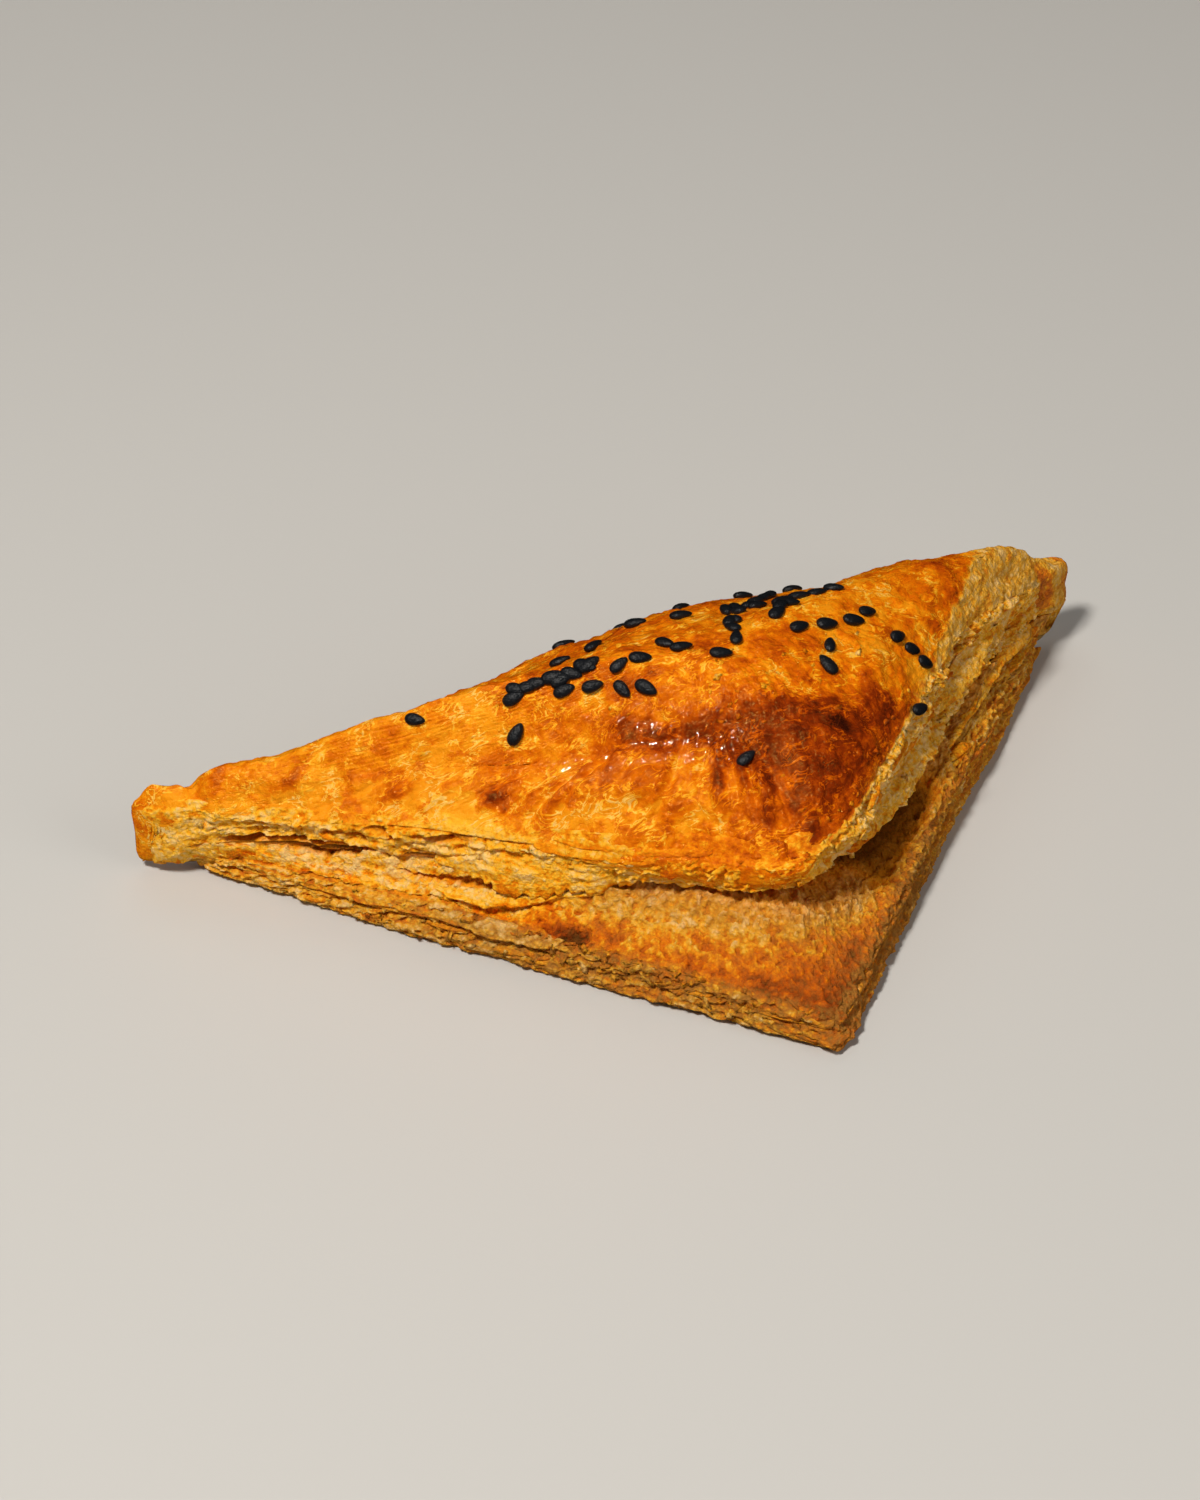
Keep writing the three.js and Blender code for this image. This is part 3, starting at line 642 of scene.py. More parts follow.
def base_dough(place, x, y, height, inset):
    """The leaves, lumps, flakes and sheets of the base sheet, by name: noise, crests and nearest centres."""
    fine, fine_own, seam = leaf_relief(x, y, height, 0.78, 0.42, 0.16, 21)
    broad, _, broad_seam = leaf_relief(x, y, height + 0.1 * inset, 1.9, 0.75, 0.1, 31)
    crumb = crinkled(x, y, height * 1.5, 1.3, 41) - 0.4
    strip_crumb = crinkled(place, height * 1.9, 0 * height, 1.5, 43) - 0.4
    sway = 0.8 * cloudy(x, y, height, 2.0, 46)
    lump, lump_own = pebbled(x + sway, y - sway, height * 1.3, 1.5, 48)
    small_lump, small_own = pebbled(x - sway, y + sway, height * 1.3, 0.75, 52)
    flake, flake_own = pebbled(place + sway, height * 2.4 + 0.5 * sway, 0 * height, 2.0, 56)
    risen = 1 - smooth(place, 56, 70) * (1 - smooth(place, 112, 122))
    sheets = risen * terraced(1.4 * billowy(x, y, height * 1.8, 5.5, 42, 2), 0.42)
    sheets = sheets + (1 - risen) * 0.6 * billowy(x, y, height, 4.0, 47, 2)
    frayed = 0.7 * billowy(x, y, height, 1.3, 58, 2)
    return {
        "leaves": 0.6 * fine + 0.4 * broad,
        "leaf_own": fine_own,
        "seams": 0.2 * seam + 0.1 * broad_seam,
        "risen": risen,
        "sheets": sheets,
        "grain": (1 - 0.3 * risen) * (0.8 * lump + 0.6 * small_lump) - 0.7 + 0.7 * crumb,
        "lump_own": lump_own,
        "small_own": small_own,
        "flakes": 0.35 * flake + 0.2 * lump - 0.25 + 0.7 * strip_crumb,
        "flake_own": flake_own,
        "hole": smooth(stain(x + frayed, y - frayed, CARAMEL_SPOT, 1.1) + 0.2 * crumb, 0.4, 0.5),
    }


def base_toast(place, x, y, height, at, edge, shelf, dough):
    """Browning of the base sheet: most along its rim and at the front corner; seams and hollows get painted
    shade, crests are painted paler.
    """
    rim = np.exp(-(((at - 6.2) / 1.1) ** 2))
    front = np.exp(-(((place - 96) / 26) ** 2))
    # painted shade: seams darker, and the crests of flakes and lumps paler than their hollows
    on_edge = 0.08 * dough["leaf_own"] + 0.08 * dough["flake_own"] - 0.25 * dough["flakes"] + dough["seams"]
    on_shelf = 0.05 * dough["lump_own"] + 0.04 * dough["small_own"] - 0.28 * dough["grain"] - 0.06
    return (
        0.15
        - 0.01 * edge
        + 0.2 * rim * (0.5 + 0.5 * front)
        + 0.1 * shelf * front * (1 - smooth(at, 6.2, 8.8))
        + 0.05 * billowy(x, y, height, 5.0, 44, 3)
        + edge * on_edge
        + 0.14 * edge * smooth(place, 84, 95) * (1 - smooth(place, 112, 128))
        + shelf * on_shelf
        + 0.05 * edge * smooth(place, 96, 120)
        + (0.55 + 0.2 * dough["lump_own"]) * dough["hole"] * shelf
        + (shelf + 0.6 * edge) * stained(x, y, SHELF_STAINS)
        - 0.1 * smooth(at, 7.6, 9.0)
        - 0.08 * shelf * smooth(place, 8, 14) * (1 - smooth(place, 40, 56))
        + tip_toast(x, height)
    )


# %% [markdown]
# ## The base sheet: put together
# One grid runs from under the middle, out round the edge and back in through the gap. On the edge
# the dough's relief pushes points out, and on the shelf it also lifts them. Under the fold and the
# two tips the sheet is tucked inside the crust.

# %% Base sheet
def base_sheet():
    """The base sheet's grid from under its middle to the back of the gap, and its stored values."""
    place = columns(*SHEET_STEPS)
    at = np.concatenate([
        np.linspace(0.0, 1.0, 4, endpoint=False),
        np.linspace(1.0, 2.0, 6, endpoint=False),
        np.linspace(2.0, 6.0, 36, endpoint=False),
        np.linspace(6.0, 9.0, 46, endpoint=False),
        np.linspace(9.0, 10.4, 13),
    ])
    at = np.broadcast_to(at[:, None], (len(at), len(place)))
    angle, inset, height, sharpness = skin(place, at)
    inset = inset + tuck(place)
    flat = plan_point(angle, inset, sharpness)
    x, y = flat[..., 0], flat[..., 1]
    show = leaf_show(place)
    edge = smooth(at, 1.2, 2.6) * (1 - smooth(at, 5.6, 6.6))
    shelf = smooth(at, 5.6, 6.6) * (1 - smooth(at, 9.2, 10.2))
    dough = base_dough(place, x, y, height, inset)
    cut = split_depth(place, height) * smooth(at, 1.6, 3.0) * (1 - smooth(at, 9.0, 9.6))
    on_edge = edge * (dough["leaves"] + dough["flakes"])
    on_shelf = 0.4 * shelf * (dough["sheets"] + dough["risen"] * dough["grain"])
    pushed_out = (show * (on_edge + on_shelf) - cut) * tip_calm(x)
    pushed_out = pushed_out + nub_bulge(x, height) * smooth(at, 0.8, 2.0)
    cave = smooth(place, 115, 122) * (1 - smooth(place, 138, 145)) * smooth(at, 6.5, 7.4)
    lifted = show * shelf * (0.6 * dough["sheets"] + dough["grain"]) - 1.5 * dough["hole"] * shelf
    lifted = lifted - 0.7 * cave * (1 - smooth(at, 8.8, 9.6)) - nub_sag(x, height)
    flat = flat + facing_out(angle, sharpness) * pushed_out[..., None]
    grid = np.concatenate([flat, (np.maximum(height, 0) + lifted)[..., None]], axis=-1)
    grid[..., 2] = np.maximum(grid[..., 2], np.where(at > 1.0, 0.05, 0.0))
    toast = base_toast(place, x, y, height, at, edge, shelf, dough)
    # painted shade: near black in the gap and the cavity behind the front corner, amber in the splits and on
    # the shelf close to the lid
    amber_and_painted_shade = 0.9 * smooth(at, 9.0, 10.0) + 0.6 * np.clip(cut, 0, 1) + 0.66 * cave
    amber_and_painted_shade = amber_and_painted_shade + 0.2 * smooth(at, 7.2, 8.6) * smooth(place, 52, 66)
    # painted shadow of the lid's overhang on the shelf, from the left side's middle round to the right,
    # deeper under the lid
    lid_shadow_on_shelf = shelf * (0.35 + 0.4 * smooth(at, 6.8, 8.2)) * smooth(place, 48, 62)
    values = {
        "toast": np.clip(toast, 0, 1),
        "wash": np.clip(1.1 * shelf * stained(x, y, SHELF_STAINS[4:]), 0, 0.8),
        "amber_and_painted_shade": np.clip(amber_and_painted_shade, 0, 1),
        "painted_shade": np.clip(painted_shade_share(place, height) + lid_shadow_on_shelf, 0, 1),
        "leafy": np.clip(0.55 * edge + 0.1 * shelf, 0, 1) * tip_calm(x),
        "run": outline_run(place, height, inset),
    }
    return grid, values


base_grid, base_values = base_sheet()
base_piece = make_piece("base_sheet", *shut_ends(base_grid, base_values), "flaky_crumb")

# %% [markdown]
# ## The torn wall: its dough
# Between the gap and the lip stands the torn wall of the lid. Its left half is soft crumb with few
# leaf lines, and its right side is torn into coarser leaves and steps. Beside the front corner the
# egg wash has run down over the lip.

# %% Torn wall dough
def lip_wash(place, height):
    """1 where the egg wash has run down over the lip beside the front corner, 0 elsewhere."""
    return smooth(place, 62, 72) * (1 - smooth(place, 98, 106)) * smooth(height, 12.6, 14.6)


def wall_dough(place, x, y, height, right_side):
    """The leaves, steps and grain of the torn wall, by name, with more leaves and steps on the right side."""
    fine, fine_own, seam = leaf_relief(x, y, height, 0.62, 0.3, 0.16, 71)
    broad, broad_own, _ = leaf_relief(x, y, height, 1.9, 0.8, 0.14, 81)
    crumb = crinkled(x, y, height * 1.4, 1.4, 91) - 0.4
    steps = terraced(1.3 * billowy(place * 0.4, height * 1.5, 0 * height, 2.6, 92, 3), 0.4)
    sway = 0.8 * cloudy(x, y, height, 2.0, 94)
    flake, flake_own = pebbled(place + sway, height * 1.8 + 0.7 * sway, 0 * height, 1.9, 96)
    small_flake, small_own = pebbled(place - sway, height * 1.5, 0 * height, 0.9, 98)
    own_shades = 0.05 * broad_own * (1 + 1.4 * right_side) + 0.04 * (fine_own + flake_own + small_own)
    return {
        "leaves": (0.12 + 0.38 * right_side) * (fine + broad),
        "steps": (0.3 + 0.4 * right_side) * steps,
        "grain": 0.5 * flake + 0.3 * small_flake - 0.4 + 0.7 * crumb,
        "own_shades": own_shades,
        "seam": seam,
    }


# %% [markdown]
# ## The torn wall: put together
# The wall is a band that closes on itself round the pastry. Its lower edge hangs in a ragged
# fringe over the gap. Its inner face is never seen, so four plain rows join it into a ring.

# %% Torn wall
# each hidden row: the section row behind which it stands, how much further in, how much higher
HIDDEN_ROWS = [(17.6, 3.0, 0.0), (17.6, 6.0, 0.0), (11.0, 7.0, 0.5), (11.0, 4.0, 0.2)]


def torn_wall():
    """The torn wall's grid as a ring of rows from the gap up to the lip, and its stored values."""
    place = columns(*SHEET_STEPS)
    at = np.concatenate([np.linspace(11.0, 12.0, 12, endpoint=False), np.linspace(12.0, 17.6, 60)])
    at = np.broadcast_to(at[:, None], (len(at), len(place)))
    angle, inset, height, sharpness = skin(place, at)
    far_left = 1 - smooth(place, 50, 58)
    right_side = smooth(place, 98, 112)
    under_lip = (0.2 + 0.35 * right_side) * smooth(at, 16.2, 17.4)
    under_lip = under_lip - 0.3 * far_left * smooth(at, 14.5, 15.8) * (1 - smooth(at, 16.4, 17.3))
    inset = inset + tuck(place) + under_lip
    flat = plan_point(angle, inset, sharpness)
    x, y = flat[..., 0], flat[..., 1]
    show = leaf_show(place) * smooth(at, 11.2, 12.2)
    show = show * (1 - smooth(at, 15.3 + 1.5 * right_side + far_left, 16.6 + right_side + far_left))
    dough = wall_dough(place, x, y, height, right_side)
    cut = split_depth(place, height) * smooth(at, 11.8, 12.4)
    pushed_out = show * (dough["leaves"] + dough["steps"] + dough["grain"]) - cut
    pushed_out = pushed_out * tip_calm(x) + nub_bulge(x, height)
    fringe = np.exp(-(((at - 12.1) / 0.5) ** 2))
    ragged = np.maximum(billowy(x, y, 0 * x, 1.6, 95, 2), -0.3) * smooth(place, 9, 18)
    drop = fringe * (0.7 * ragged + 0.9 * (1 - smooth(place, 9, 13))) + nub_sag(x, height)
    flat = flat + facing_out(angle, sharpness) * pushed_out[..., None]
    grid = np.concatenate([flat, (height - drop)[..., None]], axis=-1)
    yellow_band = np.exp(-(((place - 47) / 15) ** 2)) * (1 - smooth(at, 14.6, 16.4))
    # painted shade: the crests of the grain paler, and on the right side the seams darker
    toast = (
        0.13
        - 0.04 * right_side
        + 0.1 * (1 - right_side) * smooth(at, 14.5 + far_left, 16.6 + 0.6 * far_left)
        + dough["own_shades"]
        - 0.2 * dough["grain"]
        + 0.15 * right_side * dough["seam"]
        + 0.05 * yellow_band
        + tip_toast(x, height)
        + 0.2 * lip_wash(place, height)
    )
    values = {
        "toast": np.clip(toast, 0, 1),
        "wash": np.clip(0.25 * yellow_band + 0.7 * lip_wash(place, height), 0, 1),
        # painted shade: near black in the gap under the wall, amber in the splits, and the crumb's dull
        # painted shade
        "amber_and_painted_shade": np.clip(0.62 * np.clip(cut, 0, 1) + 0.9 * (1 - smooth(at, 11.2, 12.3)), 0, 1),
        "painted_shade": painted_shade_share(place, height),
        "leafy": np.broadcast_to(0.15 + 0.25 * right_side, at.shape),
        "run": outline_run(place, height, inset),
    }
    hidden = []
    for row, extra, rise in HIDDEN_ROWS:
        angle, inset, height, sharpness = skin(place, np.full((1, len(place)), row))
        spot = plan_point(angle, inset + tuck(place) + extra, sharpness)
        hidden.append(np.concatenate([spot, (height + rise)[..., None]], axis=-1))
    stored = {}
    for key, value in values.items():
        stored[key] = np.concatenate([value, value[-1:], value[-1:], value[:1], value[:1]])
    return np.concatenate([grid, *hidden]), stored


wall_grid, wall_values = torn_wall()
wall_rows, wall_places = wall_grid.shape[:2]
wall_piece = make_piece(
    "torn_wall",
    wall_grid.reshape(-1, 3),
    grid_faces(wall_rows, wall_places, True),
    {key: value.reshape(wall_rows * wall_places, *value.shape[2:]) for key, value in wall_values.items()},
    "flaky_crumb",
)

# %% [markdown]
# ## The lid: its rows
# The egg-washed crust domes over the filling and wraps round the fold down to the table, because
# it is the same sheet. On the cut sides it ends at the lip. One grid makes all of it: from the
# crown (row 24) out to the shoulder (row 21), down the steep side and on to the hem, whose row
# changes round the pastry.

# %% Lid rows
CROWN_SHARPNESS = 3.2
CROWN_ROW, SHOULDER_ROW, LIP_ROW = 24.0, 21.0, 17.0
# how far the places lie apart along the cut sides and along the fold
LID_STEPS = (0.35, 0.8)
# the section row at which the lid ends
hem = track(
    [0, 1.0], [2, 2.5], [4.5, 13.0], [8, 15.0], [16, 15.6], [24, 16.8], [31, 17.2], [45, 17.2], [54, 16.4],
    [60, 14.2], [66, 13.2], [90, 13.2], [98, 14.0], [106, 16.0], [118, 16.5], [178, 16.6], [183, 15.6],
    [186, 10.0], [188, 3.0], [190, 1.0], [315, 1.0])


def lid_rows(place):
    """Plan points, heights and row numbers: the section below, and a quarter sine wave over the crown."""
    shoulder = np.linspace(SHOULDER_ROW, LIP_ROW, 42, endpoint=False)
    shoulder = np.broadcast_to(shoulder[:, None], (len(shoulder), len(place)))
    skirt = LIP_ROW + np.linspace(0, 1, 26)[:, None] * (hem(place) - LIP_ROW)
    at = np.concatenate([shoulder, skirt])
    angle, inset, height, sharpness = skin(place, at)
    flat = plan_point(angle, inset, sharpness)
    step = 1 - np.linspace(0, 1, 53, endpoint=False)[1:]
    step = np.broadcast_to(step[:, None], (len(step), len(place)))
    crown_sharp = lid_sharpness(place) * 0.6
    crown_sharp = crown_sharp + (CROWN_SHARPNESS - crown_sharp) * np.sqrt(step)
    crown_angle = np.broadcast_to(angle_of(place), step.shape)
    rim = plan_point(crown_angle, np.broadcast_to(shoulder_inset(place), step.shape), crown_sharp)
    crown_flat = MIDDLE + (rim - MIDDLE) * (1 - step)[..., None]
    start = shoulder_height(place)
    crown_height = start + (CREST - start) * np.sin(0.5 * np.pi * step)
    row = np.concatenate([SHOULDER_ROW + (CROWN_ROW - SHOULDER_ROW) * step, at])
    return np.concatenate([crown_flat, flat]), np.concatenate([crown_height, height]), row


# %% [markdown]
# ## The lid: its skin
# The skin has puffed in broad blisters, and shrunk again into pleats down the steep front, fine
# wrinkles, dimples and a few long creases over the dark patch. The blisters lift it straight up.
# Everything else moves it along its own normals. The grid runs from the crown down, so these face
# into the dough: a height above zero is a hollow here, and one below zero stands out.

# %% Lid skin
# each blister: its middle in the plan, its radius, how far it rises
BLISTERS = [
    (12, -10, 6, 0.7), (-8, 2, 7, 0.5), (30, 12, 6, -0.5), (-30, 14, 6, 0.5),
    (22, 2, 4, 0.5), (0, -14, 5, -0.4), (40, 20, 5, 0.6),
]
# each crease: its line in the plan, its width, how far it is pressed in, or below zero how far it stands out
CREASES = [
    ([(-19, 1.5), (-10, -1.8), (-1, -5.6), (6, -8.0)], 0.55, -0.25),
    ([(3, -7.0), (11, -9.4), (18, -11.2)], 0.5, -0.4),
    ([(8, -5.6), (15, -7.2), (21, -9.6)], 0.5, -0.34),
    ([(10, -8.2), (17, -12.4)], 0.45, -0.3),
    ([(0.5, -9.4), (0.2, -13.8)], 0.5, -0.45),
    ([(-6.4, -9.4), (-6.8, -12.4)], 0.5, -0.3),
    ([(-50.6, 24.2), (-46.0, 25.8)], 0.45, -0.4),
    ([(-44.6, 18.6), (-41.4, 21.4)], 0.5, -0.3),
    ([(-37.0, 13.2), (-34.6, 17.0)], 0.5, -0.3),
    ([(-17, 0.4), (-8, -3.4), (0, -7.4)], 1.1, 0.2),
]


def lid_swells(x, y):
    """How far the skin is lifted: crossing waves, a bell for each blister, humps and dips at the tips."""
    lift = 0.3 * np.sin(x / 3.9 + 1.2 * np.sin(y / 6.1)) * np.cos(y / 4.7 + 0.8)
    for middle_x, middle_y, radius, rise in BLISTERS:
        lift = lift + rise * np.exp(-((x - middle_x) ** 2 + (y - middle_y) ** 2) / radius**2)
    hump = 1.9 * np.exp(-(((x + 67.0) / 2.2) ** 2))
    neck = 1.4 * np.exp(-(((x + 61.6) / 1.3) ** 2))
    return lift + hump - neck - 0.9 * smooth(x, 63.0, 66.0)


def lid_wrinkles(turned, x, y, height, row):
    """Puffs, wrinkles, pleats, creases and dimples by name, and under "all" how far they press in."""
    front = smooth(turned, 6, 20) * (1 - smooth(turned, 98, 110))
    steep = smooth(row, 16.5, 18.2) * (1 - smooth(row, 19.8, 21.4)) * (0.15 + 0.85 * front)
    pleats = 1 - 2 * np.abs(cloudy(turned, row * 0.9, 0 * row, (3.6, 2.2, 1.0), 101))
    small_pleats = cloudy(turned, row, 0 * row, (1.3, 1.6, 1.0), 102)
    pleated = steep * (0.55 * pleats + 0.2 * small_pleats)
    puffs = billowy(x, y, height, 4.2, 111, 4)
    pimples = billowy(x, y, height, 1.25, 112, 2)
    wrinkles = crinkled(x, y, height, 1.4, 113) - 0.4
    sway = 0.9 * cloudy(x, y, height, 2.2, 114)
    dimples, dimple_own = pebbled(x + sway, y - sway, height, 1.9, 115)
    frayed_x = x + 0.8 * cloudy(x, y, height, 2.4, 121)
    frayed_y = y + 0.8 * cloudy(x, y, height, 2.4, 122)
    creased = 0.0
    for line, width, depth in CREASES:
        creased = creased + depth * stain(frayed_x, frayed_y, line, width)
    together = 0.3 * puffs + 0.14 * pimples + 0.26 * wrinkles + pleated
    together = together + (0.1 + 0.16 * front * (1 - smooth(row, 19.5, 21.5))) * dimples
    return {
        "all": together + creased, "puffs": puffs, "wrinkles": wrinkles, "pleated": pleated,
        "creased": creased, "dimples": dimples, "dimple_own": dimple_own,
    }


# %% [markdown]
# ## The lid: its egg wash
# The brush left the torn edges dry. On the front the wash ends a little above the hem. On the right
# it ends at a torn line across the plan, from the front corner up to the fold. Past both edges the
# skin is pale, cracked into leaves and dull.

# %% Lid egg wash
# the section row at which the egg wash ends
glaze_edge = track(
    [0, 4.0], [3.5, 12.0], [7, 15.2], [16, 15.8], [24, 16.9], [45, 17.3], [54, 16.5], [60, 14.6], [68, 13.4],
    [90, 13.4], [98, 14.2], [106, 16.6], [118, 16.9], [178, 17.0], [186, 14.0], [190, 5.0], [204, 3.2],
    [316, 3.2])
# points of the plan along the torn edge of the wash
WASH_EDGE = np.array([
    (14.7, -12.3), (20.3, -7.4), (26.5, -1.2), (32.3, 5.0), (37.3, 10.5), (41.5, 15.7), (45.8, 20.3),
    (48.1, 23.5), (54.0, 36.0)])
# the streak under the ridge where the wash has stayed shiny
GLOSS_STREAK = ([(-18.5, 5.0), (-10.6, 0.3), (-6.5, -2.4), (-1.8, -5.6)], 1.9, 1.0)


def unwashed(turned, x, y, height, row):
    """1 past the edges of the wash, 0 under it: rises in row and in x, both frayed by noise."""
    soft = 0.2 + 0.7 * smooth(turned, 6, 12) * (1 - smooth(turned, 54, 66))
    wander = billowy(x, y, height, 5.0, 133, 3) * smooth(y, 28.0, 33.0)
    edge = glaze_edge(turned)
    bare = 1 - smooth(row + 1.3 * wander, edge - soft, edge + 0.1 + soft)
    past_edge = x - np.interp(y, WASH_EDGE[:, 1], WASH_EDGE[:, 0]) + 0.5 * cloudy(x, y, height, 1.4, 132)
    past_edge = past_edge + 2.5 * wander - 0.6 * smooth(y, 29.0, 33.0) * np.clip(20.0 - height, 0.0, 20.0)
    return np.maximum(bare, smooth(past_edge, -0.3, 0.4) * smooth(y, -12.3, -10.5) * (x > 0))


def torn_lip(turned, row):
    """1 along the torn lip, falling like a bell above and below it, and weaker on the left."""
    lip = np.exp(-(((row - np.minimum(hem(turned), 16.6) - 0.7) / 1.1) ** 2)) * leaf_show(turned)
    return lip * (0.3 + 0.7 * smooth(turned, 50, 60))


# %% [markdown]
# ## The lid: how far it has baked
# The washed skin runs from gold at the left to deep brown round the dark patch on the front. Its
# shade is a sum of noise, wrinkles and the named stains. The bare skin past the edges of the wash
# has a paler sum of its own, and the two are blended by how bare each point is.

# %% Lid browning
DARK_SPOT = [(12.4, -7.3), (13.4, -7.1)]
RIDGE_LINE = [(-45, 25), (-20, 14), (8, 14), (35, 20)]
# each dark spot on the right nub: its line in the plan, its width, its strength
NUB_SPOTS = [([(61.7, 28.5), (62.4, 28.3)], 0.5, 0.35), ([(63.8, 29.0), (64.0, 28.4)], 0.9, 0.3)]
# each tip that has browned: its place, its width along the outline, its strength
BROWN_TIPS = [(1.0, 2.0, 0.1), (323.0, 2.0, 0.1)]


def washed_toast(turned, x, y, height, row, wrinkled, lip):
    """Browning under the egg wash: darker where it stands out or is stained, paler on ridge and left."""
    toast = (
        0.49
        + 0.07 * billowy(x, y, height, 7.0, 141, 3)
        + 0.05 * billowy(x, y, height, 2.2, 142, 3)
        - 0.05 * wrinkled["puffs"]
        - 0.06 * wrinkled["wrinkles"]
        - 0.06 * stain(x, y, RIDGE_LINE, 7.0)
        - 0.12 * wrinkled["creased"]
        + stained(x, y, LID_STAINS)
        - 0.13 * smooth(x, 6, 24)
        - 0.24 * wrinkled["pleated"]
        + 0.05 * wrinkled["dimple_own"]
        - 0.08 * (wrinkled["dimples"] - 0.4)
        - 0.13 * (1 - smooth(x, -36, -14))
        + 0.02 * smooth(x, -20, -4)
        - 0.05 * (1 - smooth(row, 17.2, 19.2))
    )
    toast = np.minimum(toast, 0.8) + 0.35 * stain(x, y, DARK_SPOT, 0.9)
    toast = toast - (0.05 + 0.05 * smooth(turned, 60, 64)) * lip
    for tip, width, strength in BROWN_TIPS:
        near = np.exp(-(((turned - tip) / width) ** 2))
        toast = toast + strength * near * np.exp(-(((height - 9) / 5.0) ** 2))
    return toast


def bare_toast(turned, x, y, height, wrinkled, lines_own):
    """Browning of the skin without egg wash: pale, darker on the tips and on what stands out."""
    left_nub = 1 - smooth(x, -67.5, -63.0)
    toast = 0.16 + 0.12 * left_nub + 0.1 * lines_own + 0.05 * wrinkled["puffs"]
    toast = toast - 0.22 * (wrinkled["dimples"] - 0.45)
    for tip, width, strength in BROWN_TIPS:
        near = np.exp(-(((turned - tip) / width) ** 2))
        toast = toast + 1.3 * strength * near * (0.5 + 0.5 * wrinkled["puffs"])
    toast = toast + tip_toast(x, height) + 0.02 * smooth(x, 61.5, 65.0)
    for line, width, strength in NUB_SPOTS:
        toast = toast + strength * stain(x, y, line, width) * smooth(height, 6.0, 9.0)
    return toast


# %% [markdown]
# ## The lid: put together
# The bare form gets its swells and wrinkles, and what its points store. Three hidden rows turn in
# under the hem. The mesh starts at the underside, so the finished grid is turned upside down.

# %% Lid
def lid():
    """The lid's grid from the underside up, and the stored values of its points."""
    place = columns(*LID_STEPS)
    flat, height, row = lid_rows(place)
    x, y = flat[..., 0], flat[..., 1]
    turned = np.broadcast_to(place, row.shape)
    wrinkled = lid_wrinkles(turned, x, y, height, row)
    bare = unwashed(turned, x, y, height, row)
    lip = torn_lip(turned, row)
    lines, lines_own, _ = leaf_relief(x, y, height, 0.8, 0.34, 0.16, 131)
    leafy_share = np.maximum(lip, 0.8 * bare) * (1 - 0.5 * smooth(turned, 96, 110))
    pressed_in = wrinkled["all"] * (1 - 0.6 * np.maximum(lip, bare)) + lines * leafy_share
    pressed_in = pressed_in + 0.55 * bare * (wrinkled["dimples"] - 0.45)
    dive = smooth(turned, 7, 12) * (1 - smooth(turned, 60, 72)) * (1 - smooth(row - hem(place), 0.0, 0.8))
    pressed_in = (pressed_in - 0.25 * dive) * tip_calm(x)
    pressed_in = pressed_in - nub_bulge(x, height) * smooth(height, 0.5, 2.0)
    grid = np.concatenate([flat, height[..., None]], axis=-1)
    facing_in = grid_normals(grid)
    below_crown = 1 - smooth(row, CROWN_ROW - 0.3, CROWN_ROW)
    grid = grid + facing_in * (pressed_in * below_crown)[..., None]
    grid[..., 2] = grid[..., 2] + lid_swells(x, y) * smooth(row, 16.8, 18)
    grid[..., 2] = np.maximum(grid[..., 2] - nub_sag(x, height), 0.02)
    washed = washed_toast(turned, x, y, height, row, wrinkled, lip)
    toast = washed * (1 - bare) + bare_toast(turned, x, y, height, wrinkled, lines_own) * bare
    values = {
        "toast": np.clip(toast, 0, 1),
        "wash": 1 - bare,
        "gloss": (1 - bare) * stained(x, y, [GLOSS_STREAK]),
        # the bare skin gets the crumb's painted shade, a little more of it on the right side
        "painted_shade": bare * (painted_shade_share(turned, height) + 0.15 * smooth(turned, 96, 110)),
        "leafy": np.maximum(0.8 * bare, 0.6 * lip),
        "run": np.stack([turned, height + 1.75, 0 * height], -1),
    }
    hidden = []
    for extra in (1.4, 4.0, 9.0):
        angle, inset, hem_height, sharpness = skin(place, hem(place)[None, :])
        spot = plan_point(angle, inset + extra, sharpness)
        hidden.append(np.concatenate([spot, np.maximum(hem_height + 0.25, 0.0)[..., None]], axis=-1))
    whole = np.concatenate([grid, *hidden])[::-1].copy()
    stored = {}
    for key, value in values.items():
        stored[key] = np.concatenate([value, np.repeat(value[-1:], len(hidden), axis=0)])[::-1].copy()
    return whole, stored


lid_grid, lid_values = lid()
lid_piece = make_piece("glazed_lid", *shut_ends(lid_grid, lid_values), "glazed_crust")

# %% [markdown]
# ## Loose leaves
# Torn sheets stand off the cut sides and hang over the splits. Each is a thin slab between two
# lines, a root buried in the dough and a ragged free edge, and both lines are given as places and
# heights. Short random ones fill in between: on the sides of both sheets they stick straight out,
# as the cut edges of a folded stack do.

# %% Loose leaves
SECTION_ROWS = [2, 3, 4, 5, 6, 7, 8, 9, 12, 13, 14, 15, 16, 17, 18, 19]
STATIONS = 96
SHORT_LOOP = (np.array([0.0, 0.35, 0.7, 1.0, 1.0, 0.7, 0.35, 0.0]), np.repeat([0.0, 1.0], 4))
LONG_LOOP = (np.concatenate([np.linspace(0, 1, 22), np.linspace(1, 0, 5)]), np.repeat([0.0, 1.0], [22, 5]))


def on_row(values, row):
    """One value for each place, at that place's own row."""
    return pick_rows(values, row)[0]


def face_at(place, height):
    """Inset of the torn sides at a height: straight between the section's rows, as if the gap were closed."""
    insets, heights, _ = section_rows(place)
    insets = insets[SECTION_ROWS]
    tiny_steps = 1e-4 * np.arange(len(SECTION_ROWS))[:, None, None]
    heights = np.maximum.accumulate(heights[SECTION_ROWS] + tiny_steps)
    row = np.clip(np.sum(heights < height, axis=0) - 1, 0, len(SECTION_ROWS) - 2)[None]
    low, high = on_row(heights, row), on_row(heights, row + 1)
    t = np.clip((height - low) / (high - low), 0, 1)
    return on_row(insets, row) * (1 - t) + on_row(insets, row + 1) * t


